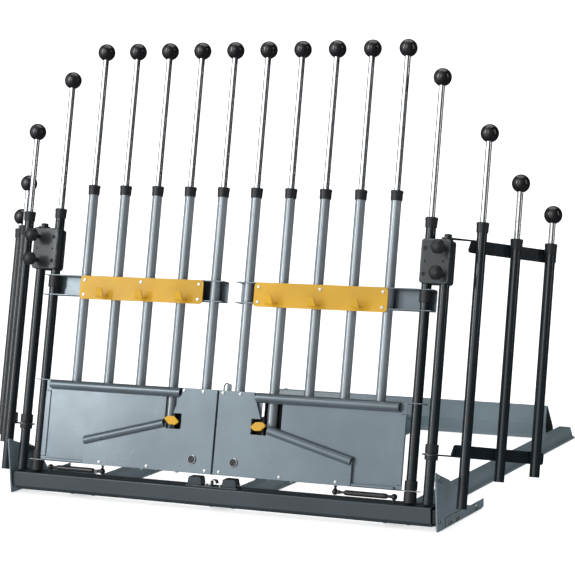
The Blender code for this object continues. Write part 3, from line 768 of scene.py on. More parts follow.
def collar_profile(top, outer=COLLAR_R):
    """A rod guide pushed over the tube's mouth: a slim skirt, a proud rim, and a snug hole for the rod."""
    foot = top - COLLAR_LENGTH
    rim = top - 0.0055
    return [(TUBE_R + 0.0001, foot), (outer - 0.0014, foot), (outer - 0.0008, foot + 0.0008),
            (outer - 0.0005, rim - 0.0008), (outer - 0.0001, rim), (outer, rim + 0.0008),
            (outer, top - 0.0010), (outer - 0.0010, top), (GUIDE_R + 0.0008, top), (GUIDE_R, top - 0.0008),
            (GUIDE_R, top - 0.0040), (TUBE_R + 0.0001, top - 0.0040)]


for word, side in HANDS:
    fit_piece("post_tube_" + word, other_hand(turned(tube_profile(POST_FOOT, POST_A_TOP - 0.005),
                                                     upright(POST_A), ring=True), side), tube_black,
              "dark_paint", "floor_frame", "door_post_" + word)
    for part, (low, high) in (("foot", (POST_FOOT, 0.0246)), ("lower", (0.0274, 0.046)),
                              ("upper", (0.388, 0.4116))):
        fit_piece("post_sleeve_%s_%s" % (part, word),
                  other_hand(turned(sleeve_profile(low, high, COLLAR_R), upright(POST_A), ring=True), side),
                  black_nylon, "black_plastic", "floor_frame")
    fit_piece("post_collar_" + word, other_hand(turned(collar_profile(POST_A_TOP), upright(POST_A),
                                                       ring=True), side), black_nylon, "black_plastic",
              "floor_frame")
    fit_piece("wing_post_tube_" + word, other_hand(turned(tube_profile(POST_FOOT, POST_B_TOP),
                                                          upright(POST_B), ring=True), side), tube_black,
              "dark_paint", "floor_frame", "wing_post_" + word)
    for part, (low, high) in (("lower", (0.088, 0.0966)), ("upper", (0.1004, 0.118))):
        fit_piece("wing_sleeve_%s_%s" % (part, word),
                  other_hand(turned(sleeve_profile(low, high, 0.013), upright(POST_B), ring=True), side),
                  black_nylon, "black_plastic", "floor_frame")
    cap = [(0, POST_B_TOP - 0.010), (BORE_R, POST_B_TOP - 0.010), (BORE_R, POST_B_TOP - 0.0004),
           (0.0092, POST_B_TOP), (0.0040, POST_B_TOP), (0.0040, 0.5158), (0.0070, 0.5158), (0.0075, 0.5164),
           (0.0075, 0.5208), (0.0066, 0.5220), (0.0036, 0.5220), (0.0032, 0.5196), (0, 0.5196)]
    fit_piece("wing_post_bolt_" + word, other_hand(turned(cap, upright(POST_B)), side), black_nylon,
              "dark_paint", "floor_frame")
    washer = [(TUBE_R + 0.0001, 0.0968), (0.0136, 0.0968), (0.0138, 0.0970), (0.0138, 0.0966),
              (0.0136, 0.0964), (TUBE_R + 0.0001, 0.0964)]
    fit_piece("wing_washer_" + word, other_hand(turned(washer, upright(POST_B), ring=True), side), zinc,
              "chrome_rod", "floor_frame")

# ------------------------------------------------------------------------------------- Clamp blocks
# A die-cast block grips both posts of a corner. Two socket screws draw it on to the door's post, and
# two hand knobs lock the wing's post where it is turned.
CLAMP_SIDES, CLAMP_ENDS = (0.412, 0.472), (0.424, 0.5105)
CLAMP_FACE, CLAMP_BACK = -0.019, 0.015
KNOB_HEIGHTS = (("lower", 0.442), ("upper", 0.492))
SCREW_HEIGHTS = [u for part, u in KNOB_HEIGHTS]
CLAMP_SCREW_X, CLAMP_SPLIT = 0.4215, (0.4400, 0.4410)
HOLE_R = 0.0106


def gate_prism(outline, near, far):
    """A closed plate in the gate's plane: an (x, u) outline between two depths."""
    mesh = run_of([(x, u) for x, u in outline], near, far, "Y")
    mesh.transform(GATE)
    return mesh


def gate_rect(sides, ends, near, far, radius=0.0):
    """A flat rectangular plate, or the tool that cuts one out, with eased corners if it has a radius."""
    (x0, x1), (u0, u1) = sides, ends
    outline = [(x0, u0), (x1, u0), (x1, u1), (x0, u1)]
    return gate_prism(eased(outline, radius) if radius else outline, near, far)


def peg(x, u, near, far, radius, around=24):
    return turned([(radius, near), (radius, far)], GATE @ Matrix.Translation((x, 0, u)) @
                  Matrix.Rotation(-math.pi / 2, 4, "X"), around)


def across_gate(x, n, u):
    """A place on the gate whose Z axis points straight out of the doors' front."""
    return GATE @ Matrix.Translation((x, n, u)) @ Matrix.Rotation(math.pi / 2, 4, "X")


gate_out = tuple((GATE.to_3x3() @ Vector((0, -1, 0))))
cast_black = enamel("cast_black", (0.018, 0.024, 0.028), (0.10, 0.12, 0.13), roughness=0.42, peel=0.30)
for word, side in HANDS:
    u0, u1 = CLAMP_ENDS
    body = gate_rect(CLAMP_SIDES, CLAMP_ENDS, CLAMP_FACE, CLAMP_BACK, 0.006)
    break_edges(body, 0.0028, 50)
    cutters = [turned([(HOLE_R, u0 - 0.01), (HOLE_R, u1 + 0.01)], upright(x)) for x in (POST_A, POST_B)]
    cutters += [peg(CLAMP_SCREW_X, u, CLAMP_FACE - 0.01, CLAMP_FACE + 0.0042, 0.0042) for u in SCREW_HEIGHTS]
    cutters += [peg(x, 0.467, CLAMP_FACE - 0.01, CLAMP_FACE + 0.006, 0.0016) for x in (0.4225, 0.4600)]
    cutters.append(gate_rect(CLAMP_SPLIT, (u0 - 0.01, u1 + 0.01), 0.004, CLAMP_BACK + 0.01))
    fit_piece("clamp_casting_" + word, other_hand(carve(body, *cutters), side), cast_black, "dark_paint",
              "floor_frame", "clamp_block_" + word)
    socket_screws = [(tuple(GATE @ Vector((CLAMP_SCREW_X, CLAMP_FACE + 0.0040, u))),
                      gate_out) for u in SCREW_HEIGHTS]
    fasten("clamp_screws_" + word, socket_screws, round_heads, (0.0035, 0.0030, 0.0038, 0.55), black_nylon,
           "black_plastic", "floor_frame", side)
    back_nuts = [(tuple(GATE @ Vector((x, CLAMP_BACK, u))), tuple(-c for c in gate_out))
                 for x in (CLAMP_SCREW_X, POST_B) for u in SCREW_HEIGHTS]
    fasten("clamp_nuts_" + word, back_nuts, hex_heads, (0.0040, 0.0028, 0.0052, 0.55), zinc, "chrome_rod",
           "floor_frame", side)
    for part, u in KNOB_HEIGHTS:
        rise = [(0, 0.0004), (0.0046, 0.0004), (0.0046, 0.0150), (0.0090, 0.0165), (0.0132, 0.0215),
                (0.0145, 0.0260), (0.0145, 0.0310), (0.0136, 0.0345), (0.0112, 0.0375), (0.0072, 0.0396),
                (0.0040, 0.0402), (0.0036, 0.0394), (0, 0.0394)]
        knob = turned(rise, Matrix(), around=48)
        for corner in knob.verts:
            angle = math.atan2(corner.co.y, corner.co.x)
            if corner.co.z > 0.018:
                share = 0.955 + 0.045 * math.cos(6 * angle)
                corner.co.x *= share
                corner.co.y *= share
        knob.transform(across_gate(POST_B, CLAMP_FACE - 0.0003, u))
        fit_piece("hand_knob_%s_%s" % (part, word), other_hand(knob, side), black_nylon, "black_plastic",
                  "clamp_knob_%s_%s" % (part, word), "clamp_knob_%s_%s" % (part, word))

# ---------------------------------------------------------------------------------------- Door bars
# Five 20 mm tubes pass through each door's panel and band. They are coated silver-grey, and a moulded
# collar on each mouth guides a telescoping rod.
BAR_FIRST, BAR_PITCH, BAR_COUNT = 0.038, 0.07675, 5
BAR_FOOT, BAR_TOP = 0.0274, 0.605


def row_tree():
    """Geometry nodes: copies of a shape at even steps along a line."""
    tree = bpy.data.node_groups.new("row_of_bars", "GeometryNodeTree")
    tree.interface.new_socket("Geometry", in_out="INPUT", socket_type="NodeSocketGeometry")
    tree.interface.new_socket("Count", in_out="INPUT", socket_type="NodeSocketInt")
    tree.interface.new_socket("Step", in_out="INPUT", socket_type="NodeSocketVector")
    tree.interface.new_socket("Finish", in_out="INPUT", socket_type="NodeSocketMaterial")
    tree.interface.new_socket("Geometry", in_out="OUTPUT", socket_type="NodeSocketGeometry")
    link = tree.links.new
    given = add_node(tree, "NodeGroupInput").outputs
    line = add_node(tree, "GeometryNodeMeshLine")
    link(given["Count"], line.inputs["Count"])
    link(given["Step"], line.inputs["Offset"])
    placed = add_node(tree, "GeometryNodeInstanceOnPoints")
    link(line.outputs[0], placed.inputs["Points"])
    link(given["Geometry"], placed.inputs["Instance"])
    real = add_node(tree, "GeometryNodeRealizeInstances")
    link(placed.outputs[0], real.inputs[0])
    coated = add_node(tree, "GeometryNodeSetMaterial")
    link(real.outputs[0], coated.inputs[0])
    link(given["Finish"], coated.inputs["Material"])
    link(coated.outputs[0], add_node(tree, "NodeGroupOutput").inputs[0])
    return tree


bar_row = row_tree()
silver_grey = enamel("silver_grey_enamel", (0.310, 0.350, 0.375), (0.40, 0.44, 0.46), roughness=0.22,
                     metallic=0.45, peel=0.02, gloss=0.5)


def row_of(name, shape, finish):
    data = bpy.data.meshes.new(name)
    shape.to_mesh(data)
    shape.free()
    return grown_mesh(name, data, bar_row, Count=BAR_COUNT, Step=(BAR_PITCH, 0, 0), Finish=finish)


for word, side in HANDS:
    bars = row_of("bars", turned(tube_profile(BAR_FOOT, BAR_TOP - 0.005), upright(BAR_FIRST), ring=True),
                  silver_grey)
    fit_piece("door_bars_" + word, other_hand(bars, side), silver_grey, "tube_paint", "door_" + word,
              *["door_tube_%s_%d" % (word, i + 1) for i in range(BAR_COUNT)])
    collars = row_of("collars", turned(collar_profile(BAR_TOP), upright(BAR_FIRST), ring=True), black_nylon)
    fit_piece("door_collars_" + word, other_hand(collars, side), black_nylon, "black_plastic", "door_" + word)

# ----------------------------------------------------------------------------------- Rods and balls
# Hard-chromed 12 mm rods telescope out of every tube. A glossy black phenolic ball, 36 mm across, is
# screwed on to the end of each.
ROD_R, ROD_LENGTH, BALL_R = 0.006, 0.330, 0.018
BALL_FLAT = 0.0078
DOOR_BALL, POST_BALL = 0.888, 0.829
WING_TURN, WING_OFFSET = math.radians(50), -0.0268
WING_BARS = (0.0588, 0.1358, 0.2128)
WING_BALLS = {"right": (0.724, 0.636, 0.584), "left": (0.723, 0.620, 0.554)}

hard_chrome = plated("hard_chrome", (0.80, 0.81, 0.82), 0.08, brushed=(1, 1, 0.02), turn=LEAN, grain=0.004)
phenolic = moulding("phenolic_black", (0.008, 0.008, 0.009), 0.16, grain=0.02, clear=0.6)


def rod_and_ball(node, body, x, n, ball, side):
    foot = ball - ROD_LENGTH
    rod = turned([(0, foot), (ROD_R - 0.0006, foot), (ROD_R, foot + 0.0006), (ROD_R, ball - BALL_R * 0.7),
                  (0, ball - BALL_R * 0.7)], upright(x, n), 32)
    fit_piece(node + "_chromed", other_hand(rod, side), hard_chrome, "chrome_rod", body, node)
    start = math.asin(BALL_FLAT / BALL_R)
    arc = [start + (math.pi - start) * i / 20 for i in range(20)]
    profile = [(0, ball - BALL_R * math.cos(start))]
    profile += [(BALL_R * math.sin(t), ball - BALL_R * math.cos(t)) for t in arc] + [(0, ball + BALL_R)]
    fit_piece(node + "_ball", other_hand(turned(profile, upright(x, n), 40), side), phenolic,
              "black_plastic", body)


def wing_place(along):
    c, s = math.cos(WING_TURN), math.sin(WING_TURN)
    return POST_B + along * c - WING_OFFSET * s, along * s + WING_OFFSET * c


for word, side in HANDS:
    for i in range(BAR_COUNT):
        node = "door_rod_%s_%d" % (word, i + 1)
        rod_and_ball(node, node, BAR_FIRST + i * BAR_PITCH, 0, DOOR_BALL, side)
    rod_and_ball("post_rod_" + word, "post_rod_" + word, POST_A, 0, POST_BALL, side)
    for i, (along, ball) in enumerate(zip(WING_BARS, WING_BALLS[word])):
        node = "wing_rod_%s_%d" % (word, i + 1)
        rod_and_ball(node, node, *wing_place(along), ball, side)

# -------------------------------------------------------------------------------------- Door panels
# The skin is a 2 mm tray with flanges that run on past its hinge side as two drilled ears. A pressed
# cover is screwed over its inner part, and the lips along the top and down the slope are rolled.
PANEL_EDGE, PANEL_SIDE, EAR_END = 0.002, 0.408, 0.440
PANEL_LOW, PANEL_HIGH, SHEET = 0.025, 0.194, 0.002
SKIN_FACE, COVER_FACE, FLANGE_BACK = -0.013, -0.020, 0.013
SLOT_START, SLOT_LOW, SLOT_EDGE = 0.097, 0.113, {1: 0.142, -1: 0.121}
MOUTH = (0.0795, 0.1135), (0.1105, 0.1415)
MOUTH_CUT = COVER_FACE - 0.01, SKIN_FACE + 0.006
LIP_HALF, LIP_DEPTH, LIP_SHEET = 0.010, 0.0140, 0.0014
RIDGE_INNER, RIDGE_OUTER = Vector((0.118, 0.1205)), Vector((0.302, 0.073))

door_grey = enamel("door_enamel", (0.150, 0.188, 0.210), (0.22, 0.26, 0.29), roughness=0.30, metallic=0.50,
                   peel=0.02, gloss=0.3)
# Black moulding for the latch housing; the same black also paints the shade behind the slot.
housing_black_and_shade = moulding("latch_moulding_and_slot_shade", (0.010, 0.010, 0.011), 0.5)


def rolled_lip(start, end):
    """Sheet curled to a half round between two points on the skin, open at both ends."""
    run = Vector((end.x - start.x, 0, end.y - start.y))
    across = Vector((-run.z, 0, run.x)).normalized()
    turns = [math.pi * i / 20 for i in range(21)]
    arc = [Vector((LIP_HALF * math.cos(t), LIP_DEPTH * math.sin(t))) for t in turns]
    arc = [Vector((LIP_HALF, -0.0004))] + arc + [Vector((-LIP_HALF, -0.0004))]
    foot = Vector((start.x, SKIN_FACE + 0.0002, start.y))
    mesh = bmesh.new()
    loops = []
    for shift in (Vector((0, 0, 0)), run):
        loops.append([mesh.verts.new(foot + shift + across * p.x - Vector((0, p.y, 0)))
                      for p in sheet_wall(arc, LIP_SHEET)])
    near, far = loops
    mesh.faces.new(near[::-1])
    mesh.faces.new(far)
    for i in range(len(near)):
        j = (i + 1) % len(near)
        mesh.faces.new((near[i], near[j], far[j], far[i]))
    bmesh.ops.recalc_face_normals(mesh, faces=mesh.faces[:])
    mesh.transform(GATE)
    return break_edges(mesh, 0.0003, 60)


def gate_run(path, x0, x1):
    """A sheet bent to a path of (n, u) points, run along the door."""
    mesh = run_of(path, x0, x1)
    mesh.transform(GATE)
    return mesh


for word, side in HANDS:
    door, lo, hi = "door_" + word, PANEL_LOW, PANEL_HIGH
    tray = eased([(FLANGE_BACK, lo), (SKIN_FACE, lo), (SKIN_FACE, hi), (FLANGE_BACK, hi)], 0.003,
                 closed=False)
    skin = gate_run(sheet_wall(tray, -SHEET), PANEL_EDGE, PANEL_SIDE)
    holes = [turned([(HOLE_R, hi - 0.01), (HOLE_R, hi + 0.01)], upright(BAR_FIRST + i * BAR_PITCH))
             for i in range(BAR_COUNT)]
    slot = gate_rect((SLOT_START, SLOT_EDGE[side]), (SLOT_LOW, hi - 0.014), SKIN_FACE - 0.002,
                     SKIN_FACE + 0.006)
    skin = carve(skin, slot, gate_rect(*MOUTH, *MOUTH_CUT), *holes)
    fit_piece("panel_skin_" + word, other_hand(break_edges(skin, 0.0003, 60), side), door_grey,
              "door_paint", door, "door_panel_" + word)
    for part, u in (("top", hi - SHEET), ("foot", lo)):
        ear_start, ear_end = PANEL_SIDE - 0.012, EAR_END
        ear_outline = [(ear_start, -0.012), (ear_end, -0.012), (ear_end, 0.013), (ear_start, 0.013)]
        ear = run_of(eased(ear_outline, 0.006), u + 0.0001, u + SHEET - 0.0001, "Z")
        ear.transform(GATE)
        ear = carve(ear, turned([(HOLE_R, u - 0.01), (HOLE_R, u + 0.01)], upright(POST_A)))
        fit_piece("panel_ear_%s_%s" % (part, word), other_hand(break_edges(ear, 0.0003, 60), side), door_grey,
                  "door_paint", door)
    cover_outline = [(PANEL_EDGE, lo), (0.3035, lo), (0.3035, 0.0725), (0.1060, 0.1235), (0.0800, hi),
                     (PANEL_EDGE, hi)]
    cover = gate_prism(eased(cover_outline, 0.0015), COVER_FACE, SKIN_FACE + 0.0002)
    cover = carve(cover, gate_rect(*MOUTH, *MOUTH_CUT))
    fit_piece("panel_cover_" + word, other_hand(break_edges(cover, 0.0008, 50), side), door_grey,
              "door_paint", door)
    top_lip = rolled_lip(Vector((0.086, hi - LIP_HALF)), Vector((0.394, hi - LIP_HALF)))
    fit_piece("top_lip_" + word, other_hand(top_lip, side), door_grey, "door_paint", door)
    slope_lip = rolled_lip(RIDGE_INNER, RIDGE_OUTER)
    fit_piece("slope_lip_" + word, other_hand(slope_lip, side), door_grey, "door_paint", door)
    hem_path = eased([(SKIN_FACE, lo + 0.0065), (SKIN_FACE - 0.006, lo + 0.0065),
                      (SKIN_FACE - 0.006, lo + 0.0005), (SKIN_FACE, lo + 0.0005)], 0.002)
    hem = break_edges(gate_run(hem_path, 0.3045, 0.3935), 0.0008, 50)
    fit_piece("panel_hem_" + word, other_hand(hem, side), door_grey, "door_paint", door)
    margin_path = eased([(SKIN_FACE + 0.0005, lo + 0.0085), (SKIN_FACE - 0.0022, lo + 0.0105),
                         (SKIN_FACE - 0.0022, hi - 0.0240), (SKIN_FACE + 0.0005, hi - 0.0220)], 0.0012)
    margin = break_edges(gate_run(margin_path, 0.3960, 0.4075), 0.0008, 50)
    fit_piece("panel_margin_" + word, other_hand(margin, side), door_grey, "door_paint", door)

# -------------------------------------------------------------------------------- Latches and locks
# A leaf-shaped yellow finger lever works each latch from a mouth in the cover. Behind the mouth is a
# black moulded housing, with a dark sheet beside it behind the slot that is painted shade, standing in
# for the shadow there, and below them a black cylinder lock with a chromed rim takes the key.
LEVER_X, LEVER_U = 0.098, 0.127
LEVER_FACE, LEVER_THICK = -0.0275, 0.004
LOCK_X, LOCK_U = 0.047, 0.052
LEAF = [(-0.0180, -0.0020), (-0.0080, -0.0090), (0.0060, -0.0080), (0.0180, 0.0030), (0.0080, 0.0090),
        (-0.0060, 0.0080)]

signal_yellow = moulding("yellow_moulding", (0.66, 0.36, 0.004), 0.45, grain=0.05, clear=0.1)
for word, side in HANDS:
    door = "door_" + word
    leaf = gate_prism(eased([(LEVER_X + a, LEVER_U + b) for a, b in LEAF], 0.003), LEVER_FACE,
                      LEVER_FACE + LEVER_THICK)
    break_edges(leaf, 0.0012, 50)
    boss = [(0, 0.0), (0.0030, 0.0), (0.0030, 0.0120), (0, 0.0120)]
    pin = turned(boss, across_gate(LEVER_X, -0.0115, LEVER_U), 20)
    rib = gate_prism(eased([(LEVER_X - 0.010, LEVER_U - 0.0030), (LEVER_X + 0.006, LEVER_U - 0.0020),
                            (LEVER_X + 0.010, LEVER_U + 0.0024), (LEVER_X - 0.006, LEVER_U + 0.0014)], 0.002),
                     LEVER_FACE - 0.0002, LEVER_FACE + 0.002)
    lever = carve(leaf, pin, rib, operation="UNION")
    fit_piece("finger_lever_" + word, other_hand(lever, side), signal_yellow, "yellow_plastic",
              "latch_lever_" + word, "latch_lever_" + word)
    housing = gate_rect((0.071, 0.1035), (0.106, 0.146), -0.0108, 0.008, 0.003)
    housing = carve(housing, gate_rect((0.077, 0.0990), (0.111, 0.141), -0.02, 0.004, 0.002))
    fit_piece("latch_housing_" + word, other_hand(break_edges(housing, 0.0006, 50), side), housing_black_and_shade,
              "black_plastic", door)
    # Painted shade: a dark sheet behind the bars in the slot, standing in for the shadow that falls there.
    shade_sheet = gate_rect((0.0905, 0.1430), (0.1080, 0.1850), 0.0112, 0.0124, 0.003)
    fit_piece("slot_painted_shade_" + word, other_hand(break_edges(shade_sheet, 0.0004, 50), side), housing_black_and_shade,
              "black_plastic", door)
    bezel = [(0.0072, -0.002), (0.0098, -0.002), (0.0098, 0.0010), (0.0094, 0.0018), (0.0084, 0.0026),
             (0.0078, 0.0026), (0.0072, 0.0014)]
    fit_piece("lock_bezel_" + word, other_hand(turned(bezel, across_gate(LOCK_X, COVER_FACE, LOCK_U), 40,
                                                      ring=True), side), hard_chrome, "chrome_rod", door)
    barrel = turned([(0, -0.001), (0.0071, -0.001), (0.0071, 0.0010), (0.0066, 0.0014), (0, 0.0014)],
                    Matrix(), 40)
    keyway = block(-0.0036, 0.0036, -0.0008, 0.0008, 0.0002, 0.003)
    barrel = carve(barrel, keyway)
    barrel.transform(across_gate(LOCK_X, COVER_FACE, LOCK_U) @ Matrix.Rotation(math.radians(35), 4, "Z"))
    fit_piece("lock_barrel_" + word, other_hand(barrel, side), black_nylon, "black_plastic", door)

# ------------------------------------------------------------------------------------- Panel screws
# Bright domed screws hold each cover: two at its top and three along its foot. The right door has a
# sprung wire loop and a small tab at its inner top corner, which draw the other door's bolt.
COVER_SCREWS = {"left": ((0.034, 0.1885), (0.078, 0.1885), (0.016, 0.031), (0.150, 0.031), (0.262, 0.031)),
                "right": ((0.011, 0.1885), (0.050, 0.1885), (0.016, 0.031), (0.150, 0.031), (0.272, 0.031))}
LOOP_WIRE = 0.0013

for word, side in HANDS:
    spots = [(tuple(GATE @ Vector((x, COVER_FACE, u))), gate_out) for x, u in COVER_SCREWS[word]]
    fasten("cover_screws_" + word, spots, round_heads, (0.0029, 0.0018, 0.0034, 0.40), zinc, "chrome_rod",
           "door_" + word, side)
    under = [(tuple(GATE @ Vector((x, -0.001, PANEL_LOW))), tuple(GATE.to_3x3() @ Vector((0, 0, -1))))
             for x in (0.090, 0.170)]
    fasten("foot_nuts_" + word, under, hex_heads, (0.0036, 0.0022, 0.0050, 0.5), zinc, "chrome_rod",
           "door_" + word, side)
loop_path = [(0.0045, 0.188), (0.0045, 0.2045), (0.0105, 0.2105), (0.0165, 0.2045), (0.0165, 0.188)]
loop_path = eased(loop_path, 0.0055, closed=False, steps=6)
wire = bpy.data.curves.new("wire", "CURVE")
wire.dimensions = "3D"
wire.bevel_depth = LOOP_WIRE
wire.bevel_resolution = 4
wire.use_fill_caps = True
thread = wire.splines.new("POLY")
thread.points.add(len(loop_path) - 1)
for point, (x, u) in zip(thread.points, loop_path):
    point.co = (*(GATE @ Vector((x, -0.0050, u))), 1)
bent = bpy.data.objects.new("wire", wire)
bpy.context.collection.objects.link(bent)
loop_mesh = bmesh.new()
graph = bpy.context.evaluated_depsgraph_get()
loop_mesh.from_mesh(bpy.data.meshes.new_from_object(bent.evaluated_get(graph)))
bpy.data.objects.remove(bent, do_unlink=True)
bmesh.ops.remove_doubles(loop_mesh, verts=loop_mesh.verts[:], dist=1e-6)
fit_piece("release_loop", loop_mesh, anthracite, "dark_paint", "door_right")
tab = gate_rect((0.0135, 0.0235), (0.190, 0.2085), -0.0100, -0.0085, 0.004)
fit_piece("release_tab", break_edges(tab, 0.0003, 50), slate, "rail_paint", "door_right")
strike = gate_rect((0.0016, 0.0036), (0.060, 0.160), -0.010, 0.010, 0.0008)
fit_piece("meeting_strip", break_edges(strike, 0.0003, 50), black_nylon, "black_plastic", "door_right")

# --------------------------------------------------------------------------------------- Door bands
# A shallow channel, bent from 2 mm sheet, ties each door's bars half way up. The bars and the hinge
# post pass through holes in both of its flanges.
BAND_LOW, BAND_HIGH, BAND_START = 0.371, 0.414, 0.015
BAND_FRONT, BAND_BACK = -0.012, 0.0152

for word, side in HANDS:
    door = "door_" + word
    channel = eased([(BAND_FRONT, BAND_LOW), (BAND_BACK, BAND_LOW), (BAND_BACK, BAND_HIGH),
                     (BAND_FRONT, BAND_HIGH)], 0.003, closed=False)
    web = gate_run(sheet_wall(channel, SHEET), BAND_START, EAR_END)
    places = [BAR_FIRST + i * BAR_PITCH for i in range(BAR_COUNT)] + [POST_A]
    holes = [turned([(HOLE_R, BAND_LOW - 0.01), (HOLE_R, BAND_HIGH + 0.01)], upright(x)) for x in places]
    web = carve(web, *holes)
    fit_piece("band_channel_" + word, other_hand(break_edges(web, 0.0003, 60), side), door_grey,
              "door_paint", door, "door_band_" + word)

# -------------------------------------------------------------------------------------- Hook plates
# A yellow coated plate is screwed across the open front of each band. Three hooks, cut and bent up
# from strip, are welded to its lower edge to hold a lead or a bag.
PLATE_SIDES, PLATE_ENDS = (0.058, 0.349), (0.365, 0.4135)
PLATE_FACE, PLATE_BACK = -0.0148, -0.0124
HOOKS, HOOK_HALF, HOOK_SHEET = (0.102, 0.1955, 0.289), 0.009, 0.0026

yellow_enamel = enamel("yellow_enamel", (0.66, 0.36, 0.004), (0.72, 0.44, 0.02), roughness=0.50, peel=0.05,
                       gloss=0.1)
for word, side in HANDS:
    door = "door_" + word
    (x0, x1), (u0, u1) = PLATE_SIDES, PLATE_ENDS
    plate = gate_rect(PLATE_SIDES, PLATE_ENDS, PLATE_FACE, PLATE_BACK, 0.007)
    fit_piece("hook_plate_face_" + word, other_hand(break_edges(plate, 0.0007, 50), side), yellow_enamel,
              "yellow_paint", door, "hook_plate_" + word)
    for i, x in enumerate(HOOKS):
        bend = eased([(PLATE_FACE + 0.0010, u0 + 0.006), (-0.034, u0 + 0.002), (-0.040, u0 + 0.022)], 0.006,
                     closed=False)
        hook = run_of(sheet_wall(bend, -HOOK_SHEET), x - HOOK_HALF, x + HOOK_HALF)
        for corner in hook.verts:
            rise = max(0.0, corner.co.z - (u0 + 0.010)) / 0.012
            corner.co.x = x + (corner.co.x - x) * (1 - 0.30 * rise)
        hook.transform(GATE)
        fit_piece("hook_%s_%d" % (word, i + 1), other_hand(break_edges(hook, 0.0007, 50), side),
                  yellow_enamel, "yellow_paint", door)
    spots = [(x0 + 0.010, u0 + 0.009), (x1 - 0.010, u0 + 0.009), (x0 + 0.010, u1 - 0.009),
             (x1 - 0.010, u1 - 0.009), ((x0 + x1) / 2, u1 - 0.009)]
    spots = [(tuple(GATE @ Vector((x, PLATE_FACE, u))), gate_out) for x, u in spots]
    fasten("plate_screws_" + word, spots, round_heads, (0.0030, 0.0016, 0.0032, 0.45), zinc, "chrome_rod",
           door, side)

# ---------------------------------------------------------------------------------------- Gas stays
# A short gas spring under each door holds it open or shut. Its cylinder turns on a ball stud in the
# beam, and its rod's stud reaches up to the door's lower flange.
STAY_DOOR_X, STAY_BEAM_X, STAY_U = 0.264, 0.389, 0.0125

stay_black = moulding("stay_black", (0.014, 0.015, 0.017), 0.30, grain=0.05, clear=0.3)
for word, side in HANDS:
    along = GATE @ Matrix.Translation((STAY_BEAM_X, 0, STAY_U)) @ Matrix.Rotation(-math.pi / 2, 4, "Y")
    barrel = [(0, 0.0055), (0.0024, 0.0055), (0.0030, 0.0065), (0.0030, 0.0135), (0.0040, 0.0145),
              (0.0050, 0.0175), (0.0052, 0.0190), (0.0052, 0.1010), (0.0047, 0.1018), (0.0047, 0.1026),
              (0.0050, 0.1032), (0.0046, 0.1040), (0.0027, 0.1040), (0, 0.1030)]
    fit_piece("stay_barrel_" + word, other_hand(turned(barrel, along, 28), side), stay_black, "black_plastic",
              "stay_cylinder_" + word, "stay_cylinder_" + word)
    rod = turned([(0, 0.1036), (0.0024, 0.1036), (0.0024, 0.1130), (0.0034, 0.1136), (0.0036, 0.1150),
                  (0.0036, 0.1200), (0, 0.1200)], along, 24)
    fit_piece("stay_piston_" + word, other_hand(rod, side), stay_black, "black_plastic", "stay_rod_" + word,
              "stay_rod_" + word)
    for part, x, reach, body in (("beam", STAY_BEAM_X, (0.0022, 0.0080), "stay_cylinder_"),
                                 ("door", STAY_DOOR_X, (0.0170, 0.0246), "stay_rod_")):
        arc = [math.pi * i / 14 for i in range(15)]
        socket = [(0.0062 * math.sin(t), STAY_U - 0.0062 * math.cos(t)) for t in arc]
        socket = [(0 if i in (0, 14) else r, u) for i, (r, u) in enumerate(socket)]
        fit_piece("stay_socket_%s_%s" % (part, word), other_hand(turned(socket, upright(x), 28), side),
                  stay_black, "black_plastic", body + word)
        low, high = reach
        stud = [(0, low), (0.0036, low), (0.0036, low + 0.0014), (0.0024, low + 0.0020),
                (0.0024, high - 0.0020), (0.0036, high - 0.0014), (0.0036, high), (0, high)]
        fit_piece("stay_stud_%s_%s" % (part, word), other_hand(turned(stud, upright(x), 24), side),
                  stay_black, "black_plastic", body + word)

# -------------------------------------------------------------------------------------------- Wings
# Three tubes are welded to two flat arms, and thin link plates hang the frame on its post: the upper
# one on the shouldered bolt, the lower one between two sleeves.
WING_FEET, WING_TOPS = (0.0, 0.057, 0.072), (0.550, 0.527, 0.527)
ARM_START, ARM_END = 0.036, 0.232
ARM_FACES = (WING_OFFSET + 0.0093, WING_OFFSET + 0.0125)
UPPER_ARM, LOWER_ARM = (0.490, 0.5154), (0.097, 0.121)

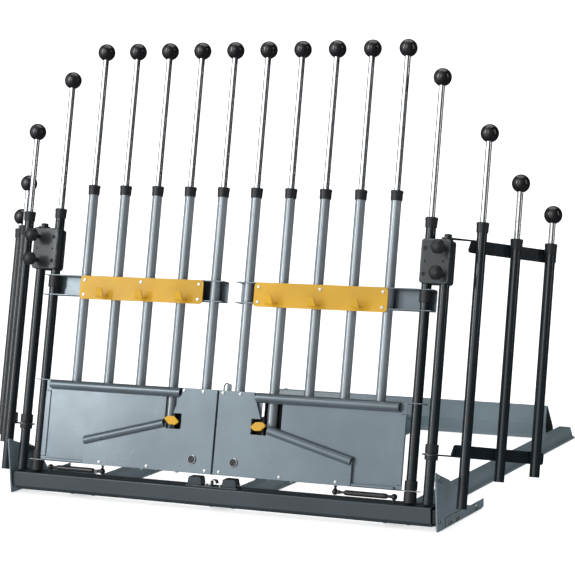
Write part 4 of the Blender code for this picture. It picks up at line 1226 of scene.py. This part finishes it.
for word, side in HANDS:
    wing = "wing_" + word
    swing = GATE @ Matrix.Translation((POST_B, 0, 0)) @ Matrix.Rotation(WING_TURN, 4, "Z")
    for i, (along, foot, top) in enumerate(zip(WING_BARS, WING_FEET, WING_TOPS)):
        place = swing @ Matrix.Translation((along, WING_OFFSET, 0))
        bar = turned(tube_profile(foot, top - 0.005), place, ring=True)
        fit_piece("wing_bar_%s_%d" % (word, i + 1), other_hand(bar, side), tube_black, "dark_paint", wing,
                  *([wing] if i == 0 else []))
        fit_piece("wing_collar_%s_%d" % (word, i + 1), other_hand(turned(collar_profile(top), place,
                                                                         ring=True), side), black_nylon,
                  "black_plastic", wing)
        for u in (sum(UPPER_ARM) / 2, sum(LOWER_ARM) / 2):
            bead = turned([(0, -0.0108), (0.0014, -0.0108), (0.0014, 0.0108), (0, 0.0108)],
                          swing @ Matrix.Translation((along - 0.0062, WING_OFFSET + 0.0080, u)), 12)
            fit_piece("weld_%s_%d_%s" % (word, i + 1, "upper" if u > 0.3 else "lower"),
                      other_hand(bead, side), tube_black, "dark_paint", wing)
    for part, (low, high) in (("upper", UPPER_ARM), ("lower", LOWER_ARM)):
        start = ARM_START if part == "upper" else ARM_START - 0.004
        end = ARM_END if part == "upper" else ARM_END + 0.004
        outline = eased([(start, low), (end, low), (end, high), (start + 0.007, high)], 0.005)
        arm = run_of(outline, *ARM_FACES, "Y")
        arm.transform(swing)
        fit_piece("wing_arm_%s_%s" % (part, word), other_hand(break_edges(arm, 0.0005, 50), side), tube_black,
                  "dark_paint", wing)
    for part, u, hole in (("upper", 0.5124, 0.0045), ("lower", 0.097, HOLE_R)):
        outer = hole + 0.0075
        ring = [Vector((outer * math.cos(math.radians(t)), outer * math.sin(math.radians(t))))
                for t in range(30, 305, 10)]
        outline = ring + [(ARM_START + 0.012, face) for face in ARM_FACES]
        link_plate = run_of(outline, u, u + 0.003, "Z")
        link_plate = carve(link_plate, turned([(hole, u - 0.01), (hole, u + 0.01)], Matrix(), 28))
        link_plate.transform(swing)
        fit_piece("wing_link_%s_%s" % (part, word), other_hand(break_edges(link_plate, 0.0003, 50), side),
                  tube_black, "dark_paint", wing)

# -------------------------------------------------------------------------------------------- Sizes
# The box around every piece on show, the sweep left out.
low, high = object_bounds()
